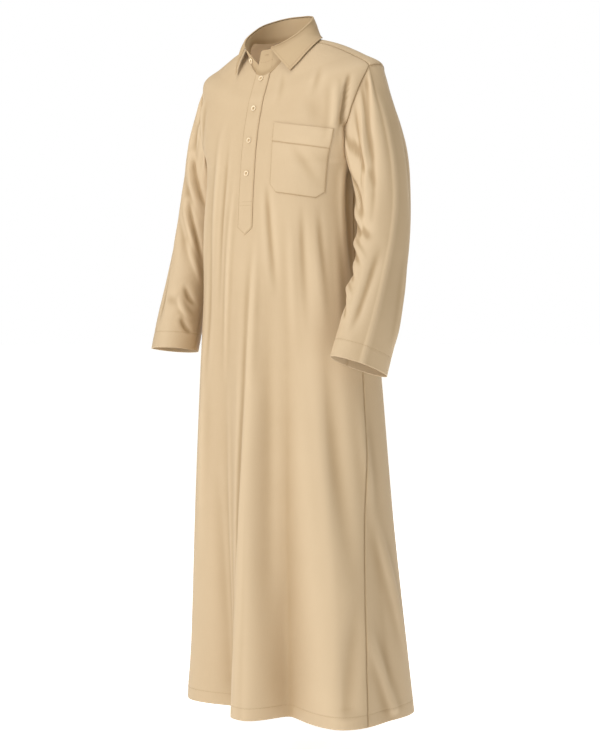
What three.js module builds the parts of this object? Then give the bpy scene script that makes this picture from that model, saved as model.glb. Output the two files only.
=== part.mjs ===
import * as THREE from "three";

// A man's ankle-length robe with long sleeves, a shirt collar on a tall stand, a half-length
// buttoned placket and one chest pocket. It keeps the shape that it has when worn: its
// panels are thin walls round an empty inside, open at the neck, the hem and both cuffs.
// Millimetres, +Z up. The front faces -Y and the wearer's left is +X. The origin is
// between the shoulders, level with the points where the neck seam crosses them.

// ---- Driving sizes ----
const clothWall = 1.6; // one layer of cloth with its seam allowances
const seamGap = 0.3; // between pieces that are sewn together
const layGap = 0.45; // under a piece that lies on a curved panel, or starts at its edge
const hemLevel = -1415;
const armpitLevel = -262;
const tipLevel = -62; // the shoulder tip; levels above it run inwards along the shoulder
const backSeamLevel = -88; // the yoke's seam across the back
const neckLevel = 112;

const slot = { left: -19, right: 17, foot: -392 }; // the front's cut, seen from in front
const placket = { halfWidth: 20, corner: -399, tip: -414, topLevel: 104 };
const pocket = {
  innerAngle: 25,
  outerAngle: 65.5,
  top: -181,
  outerDrop: 18, // the outer side lies lower, as the chest turns away
  band: 40,
  bandExtra: 0.8, // the band is a second layer of cloth
  depth: 143,
  chamfer: 10,
  chamferAngle: 3.4,
};
const buttonSize = { radius: 5.75, thick: 2.6, rim: 1.6, dish: 0.9, bevel: 0.7, sides: 10 };
const buttonHeights = [-85, -149, -216.5, -285];
const collarButton = { angle: 330, rise: 0.55 };

const { clamp, degToRad: radians, radToDeg: degrees } = THREE.MathUtils;
const { euclideanModulo: modulo, lerp: mix } = THREE.MathUtils;
const smooth = (t) => THREE.MathUtils.smoothstep(t, 0, 1);
const steps = (count) => Array.from({ length: count + 1 }, (_, i) => i / count);

// ---- The form of the body: one closed ring of cloth for each level ----
// front, middle and back are Y. square is the power of the ring's outline: 2 is an ellipse.
const bodyRings = [
  { level: -1415, halfWidth: 268, front: -158, middle: 32, back: 222, square: 2 },
  { level: -1200, halfWidth: 252, front: -154, middle: 21, back: 196, square: 2 },
  { level: -1000, halfWidth: 236, front: -152, middle: 11, back: 174, square: 2.05 },
  { level: -727, halfWidth: 216, front: -146, middle: 4, back: 155, square: 2.1 },
  { level: -540, halfWidth: 197, front: -142, middle: -1, back: 141, square: 2.25 },
  { level: -360, halfWidth: 185, front: -137, middle: -3, back: 131, square: 2.4 },
  { level: -262, halfWidth: 189, front: -130, middle: 3, back: 131, square: 2.5 },
  { level: -205, halfWidth: 211, front: -125, middle: 7, back: 129, square: 2.5 },
  { level: -150, halfWidth: 221, front: -118, middle: 12, back: 126, square: 2.4 },
  { level: -100, halfWidth: 229, front: -110, middle: 15, back: 119, square: 2.2 },
  { level: -62, halfWidth: 232, front: -104, middle: 16, back: 110, square: 2 },
  { level: -20, halfWidth: 190, front: -96, middle: 15, back: 96, square: 1.95 },
  { level: 45, halfWidth: 131, front: -88, middle: 5, back: 70, square: 2 },
  { level: 112, halfWidth: 74, front: -82, middle: -18, back: 48, square: 2 },
];
// How far below its level a ring lies at the front, the side and the back.
const ringDrops = [
  { level: -540, front: 0, side: 0, back: 0 },
  { level: -360, front: 0, side: 0, back: 0 },
  { level: -262, front: 10, side: 0, back: 3 },
  { level: -205, front: 23, side: 0, back: 5 },
  { level: -150, front: 38, side: -2, back: 5 },
  { level: -100, front: 56, side: 0, back: 6 },
  { level: -62, front: 71, side: 0, back: 7 },
  { level: -20, front: 93, side: 19, back: 18 },
  { level: 45, front: 138, side: 58, back: 51 },
  { level: 112, front: 189, side: 109, back: 99 },
];
// The power by which a ring drops from the side to the front: later near the neck.
const dropPower = { tip: 1.3, neck: 1.8 };
const bodyRadius = 170; // for the widths of its creases

// Folds of the skirt, in order round the body. hemAngle and topAngle are degrees from the
// front towards the wearer's left, out is how far the fold stands out at the hem, and top
// is the level where it has faded away. foldGrowth is the power by which it grows downwards.
const foldGrowth = 1.25;
const skirtFolds = [
  { hemAngle: -178, topAngle: -172, out: 24, top: -420 },
  { hemAngle: -152, topAngle: -150, out: -34, top: -520 },
  { hemAngle: -128, topAngle: -128, out: 20, top: -380 },
  { hemAngle: -106, topAngle: -108, out: -12, top: -520 },
  { hemAngle: -84, topAngle: -86, out: 3, top: -420 },
  { hemAngle: -58, topAngle: -58, out: 3, top: -480 },
  { hemAngle: -30, topAngle: -28, out: -60, top: -400 },
  { hemAngle: 8, topAngle: 10, out: 26, top: -360 },
  { hemAngle: 34, topAngle: 40, out: -58, top: -340 },
  { hemAngle: 59, topAngle: 62, out: 46, top: -420 },
  { hemAngle: 88, topAngle: 88, out: -3, top: -420 },
  { hemAngle: 110, topAngle: 112, out: 8, top: -420 },
  { hemAngle: 133, topAngle: 132, out: -26, top: -560 },
  { hemAngle: 157, topAngle: 160, out: 14, top: -440 },
  { hemAngle: 182, topAngle: 188, out: 24, top: -420 },
];

// Pulled folds of the body, each a soft trough (or ridge, where out is above 0) from one
// angle and level to another.
const bodyCreases = [
  { fromAngle: 58, fromLevel: -360, toAngle: 64, toLevel: -640, width: 20, out: 6 },
  { fromAngle: -50, fromLevel: -240, toAngle: -62, toLevel: -560, width: 18, out: 6 },
  { fromAngle: 122, fromLevel: -110, toAngle: 108, toLevel: -420, width: 22, out: -9 },
  { fromAngle: -122, fromLevel: -110, toAngle: -108, toLevel: -420, width: 22, out: -9 },
  { fromAngle: 160, fromLevel: -220, toAngle: 168, toLevel: -640, width: 30, out: -8 },
  { fromAngle: -158, fromLevel: -260, toAngle: -164, toLevel: -660, width: 30, out: -9 },
];

// ---- The arms: one ring for each level, both sides ----
// left and right are the arm's distance out from the middle, ahead is its Y, across and
// deep are the ring's half sizes, and twist turns its front inwards.
const armRings = [
  { level: -681, left: 270, right: 242, ahead: -100, across: 45, deep: 66, twist: 18 },
  { level: -593, left: 274, right: 249, ahead: -68, across: 45, deep: 64, twist: 16 },
  { level: -510, left: 269, right: 253, ahead: -36, across: 45, deep: 62, twist: 12 },
  { level: -427, left: 260, right: 254, ahead: -8, across: 47, deep: 63, twist: 6 },
  { level: -345, left: 248, right: 249, ahead: 11, across: 49, deep: 66, twist: 0 },
  { level: -262, left: 237, right: 237, ahead: 16, across: 50, deep: 67, twist: 0 },
  { level: -179, left: 217, right: 220, ahead: 16, across: 51, deep: 67, twist: 0 },
  { level: -117, left: 197, right: 205, ahead: 16, across: 51, deep: 66, twist: 0 },
  { level: -62, left: 182, right: 184, ahead: 16, across: 50, deep: 62, twist: 0 },
];
// How far each ring is turned forward with the bent forearm, in degrees.
const armTilts = [
  { level: -681, left: 20, right: 6 },
  { level: -593, left: 20, right: 9 },
  { level: -510, left: 18, right: 11 },
  { level: -427, left: 11, right: 9 },
  { level: -345, left: 3, right: 3 },
  { level: -262, left: 0, right: 0 },
];
const sleeveEnd = { left: -681, right: -658 };
const sleeveShares = [
  0, 0.025, 0.06, 0.11, 0.17, 0.235, 0.3, 0.37, 0.44, 0.51, 0.58, 0.65, 0.72, 0.79, 0.86, 0.93, 1,
];
const capLength = 130; // over which the sleeve takes the armhole's shape
const armRadius = 57; // for the widths of its creases
const shoulderTop = { whole: 36, fade: 45 }; // degrees from the armhole's top
const pressedCrease = { around: 21.6, out: 3.5, spread: 12, start: 150 };

// Folds of the sleeves, as on the body. around is degrees round the arm from its outer side
// towards the front.
const sleeveCreases = {
  left: [
    { fromAngle: 130, fromLevel: -190, toAngle: 60, toLevel: -330, width: 14, out: -6 },
    { fromAngle: 150, fromLevel: -395, toAngle: 50, toLevel: -440, width: 15, out: -7 },
    { fromAngle: 160, fromLevel: -450, toAngle: 70, toLevel: -490, width: 13, out: -5 },
    { fromAngle: 200, fromLevel: -330, toAngle: 290, toLevel: -420, width: 15, out: -6 },
  ],
  right: [
    { fromAngle: 30, fromLevel: -110, toAngle: 120, toLevel: -290, width: 14, out: -7 },
    { fromAngle: 40, fromLevel: -250, toAngle: 130, toLevel: -380, width: 14, out: -7 },
    { fromAngle: 50, fromLevel: -350, toAngle: 130, toLevel: -500, width: 14, out: -7 },
    { fromAngle: 60, fromLevel: -545, toAngle: 120, toLevel: -575, width: 13, out: -6 },
  ],
};

// ---- The armhole: how far it opens from the side line, in degrees ----
const armhole = [
  { level: -262, front: 0, back: 0 },
  { level: -256, front: 7, back: 8 },
  { level: -240, front: 12.5, back: 14.5 },
  { level: -205, front: 16, back: 19 },
  { level: -158, front: 15.5, back: 19 },
  { level: -120, front: 13, back: 16.5 },
  { level: -88, front: 10, back: 12.5 },
  { level: -62, front: 6.5, back: 7 },
];
const armholeTop = 0.12; // share of its half turn that runs over the shoulder tip

// ---- Other seams, in degrees ----
const sideSeam = [
  { level: -1415, angle: 70.4 },
  { level: -1165, angle: 75.4 },
  { level: -820, angle: 84 },
  { level: -540, angle: 88 },
  { level: -262, angle: 90 },
];
const yokeSeam = [
  { level: -62, angle: 83.5 },
  { level: -20, angle: 83 },
  { level: 45, angle: 80 },
  { level: 112, angle: 74 },
];

// ---- The collar ----
const collarTop = { halfWidth: 63, front: -70, middle: -14, back: 42.5 };
// It sits lower on its open side, the wearer's right. The last turn laps over the first.
const collarHeights = [
  { angle: -30, z: -18 },
  { angle: 0, z: -24 },
  { angle: 30, z: -16 },
  { angle: 60, z: 2 },
  { angle: 90, z: 27 },
  { angle: 120, z: 46 },
  { angle: 150, z: 53.5 },
  { angle: 180, z: 55.5 },
  { angle: 210, z: 54.5 },
  { angle: 240, z: 47 },
  { angle: 270, z: 33 },
  { angle: 300, z: 5 },
  { angle: 320, z: -18 },
  { angle: 340, z: -25 },
  { angle: 360, z: -24 },
  { angle: 390, z: -16 },
];
const collarSplay = { angle: -44, out: 24, spread: 34 }; // the open side leans away
// The stand's left end is rounded off, leans back (slant is how many degrees at its top)
// and laps over its right end, which slopes away.
const stand = { leftEnd: -18, leftRound: 6, leftShare: 0.85, rightEnd: 366 };
const standSlant = { angle: 11, fade: 45 };
const standSlope = { length: 46, share: 0.2, power: 1.5 };
const standLap = { out: 2.6, from: 12, fade: 30 };
const leaf = { topLeft: 15, topRight: 321, bulge: 14 };
// The leaf's lower edge, over the body's surface: lift is its height above it.
const leafEdge = [
  { angle: 39.8, level: 21, lift: 5 },
  { angle: 48, level: 34, lift: 4 },
  { angle: 60, level: 53, lift: 4 },
  { angle: 78, level: 72, lift: 4 },
  { angle: 100, level: 90, lift: 4 },
  { angle: 130, level: 101, lift: 4 },
  { angle: 180, level: 101, lift: 5 },
  { angle: 240, level: 103, lift: 4 },
  { angle: 275, level: 99, lift: 5 },
  { angle: 301, level: 82, lift: 6 },
  { angle: 319.5, level: 21, lift: 7 },
];
// The roll over the top of the stand: out from it and up.
const leafRoll = [
  { out: -0.9, up: 3.7 },
  { out: 2.5, up: 3.1 },
  { out: 4, up: -0.4 },
];

// ---- Tables as smooth functions ----
// Each column after the first becomes a function of the first.
function columnsOf(table) {
  const [key, ...names] = Object.keys(table[0]);
  const columns = {};
  for (const name of names) {
    const slopes = table.map((row, i) => {
      const before = table[Math.max(i - 1, 0)];
      const after = table[Math.min(i + 1, table.length - 1)];
      return (after[name] - before[name]) / (after[key] - before[key]);
    });
    columns[name] = (at) => {
      const above = table.findIndex((row) => row[key] > at);
      const i = above < 0 ? table.length - 2 : Math.max(above - 1, 0);
      const [low, high] = [table[i], table[i + 1]];
      const span = high[key] - low[key];
      const t = clamp((at - low[key]) / span, 0, 1);
      const bend = slopes[i] * (t - 2 * t * t + t ** 3) - slopes[i + 1] * (t * t - t ** 3);
      return mix(low[name], high[name], t * t * (3 - 2 * t)) + span * bend;
    };
  }
  return columns;
}

const form = columnsOf(bodyRings);
const drop = columnsOf(ringDrops);
const arm = columnsOf(armRings);
const armTilt = columnsOf(armTilts);
const opening = columnsOf(armhole);
const seamAngle = columnsOf(sideSeam).angle;
const yokeAngle = columnsOf(yokeSeam).angle;
const edge = columnsOf(leafEdge);
const collarZ = columnsOf(collarHeights).z;

// ---- Folds ----
// How far the skirt's folds stand out at an angle in degrees and a level.
function skirtOut(angle, level) {
  const at = skirtFolds.map((fold) => {
    const share = clamp((fold.top - level) / (fold.top - hemLevel), 0, 1);
    return { angle: mix(fold.topAngle, fold.hemAngle, share), out: fold.out * share ** foldGrowth };
  });
  const around = modulo(angle - at[0].angle, 360) + at[0].angle;
  const next = at.findIndex((fold) => fold.angle > around);
  const [low, high] = [at[next - 1], at[next]];
  return mix(low.out, high.out, smooth((around - low.angle) / (high.angle - low.angle)));
}

// How far a list of creases stands out there, on a form of a given radius. Each crease is
// widest halfway along and dies away at both ends.
function creasesOut(creases, angle, level, radius) {
  let out = 0;
  for (const crease of creases) {
    const start = new THREE.Vector2(radians(crease.fromAngle) * radius, crease.fromLevel);
    const run = new THREE.Vector2(radians(crease.toAngle) * radius, crease.toLevel).sub(start);
    const middle = (crease.fromAngle + crease.toAngle) / 2;
    const near = modulo(angle - middle + 180, 360) - 180 + middle;
    const here = new THREE.Vector2(radians(near) * radius, level).sub(start);
    const along = here.dot(run) / run.lengthSq();
    const away = Math.abs(here.cross(run)) / run.length() / crease.width;
    if (along <= 0 || along >= 1) continue;
    out += crease.out * Math.sin(Math.PI * along) * Math.exp(-away * away);
  }
  return out;
}

// ---- The body's surface ----
// The radius of a ring that is round in front and behind, as a power curve.
function ringRadius(across, ahead, halfWidth, reach, power) {
  const sum = Math.abs(across / halfWidth) ** power + Math.abs(ahead / reach) ** power;
  return sum ** (-1 / power);
}

// A point of the garment's outside, at an angle in degrees round the body and a level.
function bodyPoint(angle, level) {
  const [across, ahead] = [Math.sin(radians(angle)), Math.cos(radians(angle))];
  const middle = form.middle(level);
  const reach = ahead > 0 ? middle - form.front(level) : form.back(level) - middle;
  const radius =
    ringRadius(across, ahead, form.halfWidth(level), reach, form.square(level)) +
    skirtOut(angle, level) +
    creasesOut(bodyCreases, angle, level, bodyRadius);
  const towardsNeck = smooth((level - tipLevel) / (neckLevel - tipLevel));
  const power = mix(dropPower.tip, dropPower.neck, towardsNeck);
  const endDrop = ahead > 0 ? drop.front(level) : drop.back(level);
  const below = mix(drop.side(level), endDrop, Math.abs(ahead) ** power);
  return new THREE.Vector3(radius * across, middle - radius * ahead, level - below);
}

// The outward normal of a surface of two numbers, from points a little to each side.
function normalOf(surface, u, v, stepU, stepV, lowV, highV) {
  const round = surface(u + stepU, v).sub(surface(u - stepU, v));
  const up = surface(u, Math.min(v + stepV, highV)).sub(surface(u, Math.max(v - stepV, lowV)));
  return round.cross(up).normalize();
}

function bodyCell(angle, level, lift = 0) {
  const normal = normalOf(bodyPoint, angle, level, 0.5, 2, hemLevel, neckLevel);
  return { point: bodyPoint(angle, level).addScaledVector(normal, lift), normal };
}

const solverTurns = 30;

// The level on which the surface at an angle has a given height.
function levelAt(angle, z) {
  let level = z;
  for (let i = 0; i < solverTurns; i++) {
    level = clamp(level + z - bodyPoint(angle, level).z, hemLevel, neckLevel);
  }
  return level;
}

// The angle of the front at a given X on a level.
function angleAt(x, level) {
  let angle = 0;
  for (let i = 0; i < solverTurns; i++) {
    const point = bodyPoint(angle, level);
    angle = degrees(Math.asin(x / Math.hypot(point.x, point.y - form.middle(level))));
  }
  return angle;
}

// ---- A grid of cells as a closed wall ----
// grid[row][column] has a point of the outer side and its outward normal; keep says which
// squares of the grid are cloth, and closed joins the last column to the first.
function wallOf(grid, { thickness = clothWall, keep = () => true, closed = false } = {}) {
  const [rows, columns] = [grid.length, grid[0].length];
  const positions = [];
  for (const row of grid) {
    for (const { point, normal } of row) {
      const inner = point.clone().addScaledVector(normal, -thickness);
      positions.push(...point.toArray(), ...inner.toArray());
    }
  }
  const at = (row, column, layer) => 2 * (row * columns + (column % columns)) + layer;
  const squares = closed ? columns : columns - 1;
  const solid = (row, column) => {
    const inside = row >= 0 && row < rows - 1 && (closed || (column >= 0 && column < squares));
    return inside && keep(row, modulo(column, squares));
  };
  const index = [];
  const side = (from, to) => {
    index.push(at(...to, 0), at(...from, 0), at(...from, 1));
    index.push(at(...to, 0), at(...from, 1), at(...to, 1));
  };
  for (let row = 0; row < rows - 1; row++) {
    for (let column = 0; column < squares; column++) {
      if (!solid(row, column)) continue;
      const corners = [
        [row, column],
        [row, column + 1],
        [row + 1, column + 1],
        [row + 1, column],
      ];
      const [a, b, c, d] = corners.map((corner) => at(...corner, 0));
      const [e, f, g, h] = corners.map((corner) => at(...corner, 1));
      index.push(a, b, c, a, c, d, e, g, f, e, h, g);
      if (!solid(row - 1, column)) side(corners[0], corners[1]);
      if (!solid(row, column + 1)) side(corners[1], corners[2]);
      if (!solid(row + 1, column)) side(corners[2], corners[3]);
      if (!solid(row, column - 1)) side(corners[3], corners[0]);
    }
  }
  const geometry = new THREE.BufferGeometry();
  geometry.setAttribute("position", new THREE.Float32BufferAttribute(positions, 3));
  geometry.setIndex(index);
  return geometry;
}

// ---- Materials and the group ----
const cloth = (color) => new THREE.MeshStandardMaterial({ color, roughness: 0.75, metalness: 0 });
const mainCloth = cloth(0xd8ba8e);
const trimCloth = cloth(0xcfae82);
const ivory = new THREE.MeshStandardMaterial({ color: 0xf1e4c8, roughness: 0.35, metalness: 0 });

const robe = new THREE.Group();
function add(name, geometry, material) {
  const mesh = new THREE.Mesh(geometry, material);
  mesh.name = name;
  robe.add(mesh);
  return mesh;
}

// ---- Front and back ----
const skirtLevels = [
  -1415, -1325, -1230, -1130, -1030, -930, -830, -735, -645, -560, -475, -392, -340, -298,
];
const armholeLevels = [-262, -256, -240, -205, -158, -120, -88, -70, -62];
const shoulderLevels = [-20, 30, 75, 112];
const squares = { frontHalf: 11, back: 20, stand: 30, leaf: 24, underPlacket: 4, pocket: 10 };

// Half the gap of a seam on a level, in degrees.
const halfGap = (level) => degrees(seamGap / 2 / form.halfWidth(level));

// The angle, on the wearer's left, where the front ends at a level.
function frontEdge(level) {
  if (level <= armpitLevel) return seamAngle(level) - halfGap(level);
  if (level <= tipLevel) return 90 - opening.front(level);
  return yokeAngle(level) - halfGap(level);
}

function makeFront() {
  const perSide = squares.frontHalf;
  const levels = [...skirtLevels, ...armholeLevels, ...shoulderLevels];
  const grid = levels.map((level) => {
    const reach = frontEdge(level);
    const [from, to] = [angleAt(slot.left, level), angleAt(slot.right, level)];
    const angles = [
      ...steps(perSide).map((share) => mix(-reach, from, share)),
      ...steps(perSide).map((share) => mix(to, reach, share)),
    ];
    return angles.map((angle) => bodyCell(angle, level));
  });
  const inSlot = (row, column) => column === perSide && levels[row] >= slot.foot;
  return wallOf(grid, { keep: (row, column) => !inSlot(row, column) });
}

function makeBack() {
  const levels = [...skirtLevels, ...armholeLevels].filter((level) => level <= backSeamLevel);
  const grid = levels.map((step) => {
    const level = step - (step === backSeamLevel ? seamGap : 0);
    const below = level <= armpitLevel;
    const from = below ? seamAngle(level) + halfGap(level) : 90 + opening.back(level);
    return steps(squares.back).map((share) => bodyCell(mix(from, 360 - from, share), level));
  });
  return wallOf(grid);
}

// ---- Yoke ----
// Columns from the front seam over the shoulder tip and down the armhole to the middle of
// the seam across the back: each one's outer end, and its angle at the neck.
const yokeColumns = [
  { angle: yokeAngle(tipLevel), level: tipLevel, neck: yokeAngle(neckLevel) },
  { angle: 90, level: tipLevel, neck: 82 },
  { angle: 90 + opening.back(tipLevel), level: tipLevel, neck: 90 },
  { angle: 90 + opening.back(-70), level: -70, neck: 97 },
  { angle: 90 + opening.back(backSeamLevel), level: backSeamLevel, neck: 104 },
  { angle: 112, level: backSeamLevel, neck: 114 },
  { angle: 124, level: backSeamLevel, neck: 127 },
  { angle: 138, level: backSeamLevel, neck: 141 },
  { angle: 152, level: backSeamLevel, neck: 154 },
  { angle: 166, level: backSeamLevel, neck: 167 },
  { angle: 180, level: backSeamLevel, neck: 180 },
];

function makeYoke() {
  const mirrored = yokeColumns
    .slice(0, -1)
    .reverse()
    .map(({ angle, level, neck }) => ({ angle: 360 - angle, level, neck: 360 - neck }));
  const columns = [...yokeColumns, ...mirrored];
  const grid = [tipLevel, ...shoulderLevels].map((rowLevel) => {
    const share = (rowLevel - tipLevel) / (neckLevel - tipLevel);
    const seam = yokeAngle(rowLevel) + halfGap(rowLevel);
    return columns.map((column, i) => {
      if (i === 0) return bodyCell(seam, rowLevel);
      if (i === columns.length - 1) return bodyCell(360 - seam, rowLevel);
      return bodyCell(mix(column.angle, column.neck, share), mix(column.level, neckLevel, share));
    });
  });
  return wallOf(grid);
}

// ---- Sleeves ----
// The degrees round the armhole, from the shoulder tip towards the front, of a level.
function aroundOf(level) {
  const down = (tipLevel - level) / (tipLevel - armpitLevel);
  return 180 * mix(armholeTop, 1, Math.acos(1 - 2 * down) / Math.PI);
}

// The line of the armhole there, on the body.
function armholeCell(around) {
  const turn = modulo(around, 360);
  const inFront = turn <= 180;
  const share = (inFront ? turn : 360 - turn) / 180;
  const open = inFront ? opening.front : opening.back;
  const down = (1 - Math.cos((Math.PI * Math.max(share - armholeTop, 0)) / (1 - armholeTop))) / 2;
  const level = mix(tipLevel, armpitLevel, down);
  const away = open(level) * Math.min(share / armholeTop, 1);
  return bodyCell(inFront ? 90 - away : 90 + away, level);
}

// 1 over the shoulder, where the sleeve goes on from the body's edge, and 0 further round,
// where it starts from the body's outside and turns away.
function overShoulder(around) {
  const fromTop = 180 - Math.abs(modulo(around, 360) - 180);
  return 1 - smooth((fromTop - shoulderTop.whole) / shoulderTop.fade);
}

// The start of the sleeve, just clear of the body's edge.
function sleeveStart(around) {
  const { point, normal } = armholeCell(around);
  const along = armholeCell(around + 2).point.sub(armholeCell(around - 2).point).normalize();
  const onward = normal.clone().cross(along).multiplyScalar(layGap);
  return point.add(normal.multiplyScalar(layGap).lerp(onward, overShoulder(around)));
}

// A ring of the arm, before its top is bent to the armhole. Wearer's left.
function armPoint(side, around, level) {
  const [cos, sin] = [Math.cos(radians(around)), Math.sin(radians(around))];
  const tilt = radians(armTilt[side](level));
  const fromCrease = modulo(around - pressedCrease.around + 180, 360) - 180;
  const sharp = pressedCrease.out * Math.exp(-Math.abs(fromCrease) / pressedCrease.spread);
  const lower = smooth((tipLevel - level) / pressedCrease.start);
  const turn = modulo(around, 360);
  const out = sharp * lower + creasesOut(sleeveCreases[side], turn, level, armRadius);
  const twist = radians(arm.twist(level));
  const outward = (arm.across(level) + out) * cos;
  const forward = (arm.deep(level) + out) * sin;
  return new THREE.Vector3(
    arm[side](level) + outward * Math.cos(twist) - forward * Math.cos(tilt) * Math.sin(twist),
    arm.ahead(level) - outward * Math.sin(twist) - forward * Math.cos(tilt) * Math.cos(twist),
    level + forward * Math.sin(tilt),
  );
}

function sleevePoint(side, around, share) {
  const seam = sleeveStart(around);
  const level = mix(seam.z, sleeveEnd[side], share);
  const bent = seam.clone().sub(armPoint(side, around, seam.z));
  const fade = 1 - smooth((seam.z - level) / capLength);
  return armPoint(side, around, level).addScaledVector(bent, fade);
}

function makeSleeve(side) {
  const frontTurns = [...armholeLevels].reverse().map(aroundOf);
  const backTurns = frontTurns.slice(0, -1).reverse().map((turn) => 360 - turn);
  const turns = [0, ...frontTurns, ...backTurns];
  const surface = (turn, share) => sleevePoint(side, turn, share);
  const grid = sleeveShares.map((share) =>
    turns.map((turn) => {
      const normal = normalOf(surface, turn, share, 1, 0.01, 0, 1);
      if (share === 0) normal.lerp(armholeCell(turn).normal, overShoulder(turn)).normalize();
      return { point: surface(turn, share), normal };
    }),
  );
  if (side === "right") {
    for (const cell of grid.flat()) {
      cell.point.x *= -1;
      cell.normal.x *= -1;
    }
    for (const row of grid) row.reverse();
  }
  return wallOf(grid, { closed: true });
}

// ---- Collar ----
function collarTopPoint(angle) {
  const [across, ahead] = [Math.sin(radians(angle)), Math.cos(radians(angle))];
  const ring = collarTop;
  const reach = ahead > 0 ? ring.middle - ring.front : ring.back - ring.middle;
  const near = (modulo(angle - collarSplay.angle + 180, 360) - 180) / collarSplay.spread;
  const radius =
    ringRadius(across, ahead, ring.halfWidth, reach, 2) + collarSplay.out * Math.exp(-near * near);
  return new THREE.Vector3(radius * across, ring.middle - radius * ahead, collarZ(angle));
}

// The stand's share of its full height.
function standShare(angle) {
  const left = clamp((angle - stand.leftEnd) / stand.leftRound, 0, 1);
  const right = clamp((stand.rightEnd - angle) / standSlope.length, 0, 1);
  return Math.min(
    mix(stand.leftShare, 1, Math.sqrt(1 - (1 - left) ** 2)),
    mix(standSlope.share, 1, right ** standSlope.power),
  );
}

// How far the stand is out over its other end, where the two lap.
function lapOut(angle) {
  const outward = new THREE.Vector3(Math.sin(radians(angle)), -Math.cos(radians(angle)), 0);
  return outward.multiplyScalar(
    standLap.out * (1 - smooth((angle - standLap.from) / standLap.fade)),
  );
}

function standPoint(angle, rise) {
  const nearEnd = 1 - smooth((angle - stand.leftEnd) / standSlant.fade);
  const at = angle + standSlant.angle * nearEnd * (1 - (1 - rise) ** 2);
  const seam = bodyPoint(at, neckLevel);
  const top = collarTopPoint(at);
  const start = layGap / seam.distanceTo(top);
  return seam.lerp(top, mix(start, 1, rise * standShare(angle))).add(lapOut(at));
}

function standCell(angle, rise, lift = 0) {
  const normal = normalOf(standPoint, angle, rise, 1, 0.1, 0, 1);
  return { point: standPoint(angle, rise).addScaledVector(normal, lift), normal };
}

function makeStand() {
  const { leftEnd, rightEnd, leftRound } = stand;
  const angles = steps(squares.stand).map((share) => mix(leftEnd, rightEnd, share));
  angles.splice(1, 0, leftEnd + leftRound / 3, leftEnd + (leftRound * 3) / 4);
  return wallOf([0, 0.5, 1].map((rise) => angles.map((angle) => standCell(angle, rise))));
}

// A point of the leaf: down is -1 to 0 round the roll, and 1 at the leaf's lower edge.
function leafPoint(share, down) {
  const top = mix(leaf.topLeft, leaf.topRight, share);
  const low = mix(leafEdge[0].angle, leafEdge[leafEdge.length - 1].angle, share);
  const outward = new THREE.Vector3(Math.sin(radians(top)), -Math.cos(radians(top)), 0);
  const fold = (roll) => {
    const point = collarTopPoint(top).add(lapOut(top)).addScaledVector(outward, roll.out);
    point.z += roll.up;
    return point;
  };
  const turns = leafRoll.length - 1;
  if (down < 0) {
    const at = (down + 1) * turns;
    const i = Math.min(Math.floor(at), turns - 1);
    return fold(leafRoll[i]).lerp(fold(leafRoll[i + 1]), at - i);
  }
  const lower = bodyCell(low, edge.level(low), edge.lift(low)).point;
  const bulge = leaf.bulge * down * (1 - down);
  return fold(leafRoll[turns]).lerp(lower, down).addScaledVector(outward, bulge);
}

function makeLeaf() {
  const shares = steps(squares.leaf);
  const downs = [-1, -0.5, 0, 0.33, 0.67, 1];
  const grid = downs
    .map((down) =>
      shares.map((share) => ({
        point: leafPoint(share, down),
        normal: normalOf(leafPoint, share, down, 0.004, 0.06, -1, 1).negate(),
      })),
    )
    .reverse();
  return wallOf(grid);
}

// ---- Placket ----
// Both strips are made from the front's own points: the upper one lies on it and the
// under one fills its cut.
const slotLevels = [...skirtLevels, ...armholeLevels, ...shoulderLevels].filter(
  (level) => level >= slot.foot,
);

function makePlacket() {
  const across = [-1, -0.5, 0, 0.5, 1];
  const grid = [placket.corner, ...slotLevels].map((level, row) =>
    across.map((share) => {
      const drop = row === 0 ? (placket.corner - placket.tip) * (1 - Math.abs(share)) : 0;
      const height = Math.min(level, placket.topLevel) - drop;
      return bodyCell(angleAt(share * placket.halfWidth, height), height, layGap + clothWall);
    }),
  );
  return wallOf(grid);
}

function makeUnderPlacket() {
  const grid = slotLevels.map((level, row) =>
    steps(squares.underPlacket).map((share) => {
      const x = mix(slot.left + seamGap, slot.right - seamGap, share);
      return bodyCell(angleAt(x, level), row === 0 ? level + seamGap : level);
    }),
  );
  return wallOf(grid);
}

// ---- Pocket ----
// One wall between two depths below the pocket's top edge.
function makePocketWall(fromDepth, toDepth, thickness, chamfered) {
  const { innerAngle, outerAngle } = pocket;
  const between = (chamfered ? [0.6, 0.3] : [0.5]).map((share) => mix(fromDepth, toDepth, share));
  const depths = [toDepth, ...between, fromDepth];
  if (chamfered) depths.splice(1, 0, toDepth - pocket.chamfer);
  const grid = depths.map((depth, row) => {
    const inset = chamfered && row === 0 ? pocket.chamferAngle : 0;
    return steps(squares.pocket).map((share) => {
      const angle = mix(innerAngle + inset, outerAngle - inset, share);
      const lower = (pocket.outerDrop * (angle - innerAngle)) / (outerAngle - innerAngle);
      return bodyCell(angle, levelAt(angle, pocket.top - lower - depth), layGap + thickness);
    });
  });
  return wallOf(grid, { thickness });
}

// ---- Buttons ----
// A flat back, a rounded rim and a sunken middle.
function makeButton() {
  const { radius, thick, rim, dish, bevel, sides } = buttonSize;
  const profile = [
    [0, 0],
    [radius - bevel, 0],
    [radius, bevel],
    [radius - bevel / 2, thick - bevel / 2],
    [radius - rim / 2, thick],
    [radius - rim, thick - bevel / 4],
    [radius - rim - bevel, thick - dish],
    [0, thick - dish],
  ].map(([x, y]) => new THREE.Vector2(x, y));
  return new THREE.LatheGeometry(profile, sides);
}

// Sets a button on a cell, its flat back towards the cloth.
function placeButton(name, { point, normal }) {
  const button = add(name, makeButton(), ivory);
  button.position.copy(point);
  button.quaternion.setFromUnitVectors(new THREE.Vector3(0, 1, 0), normal);
}

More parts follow.
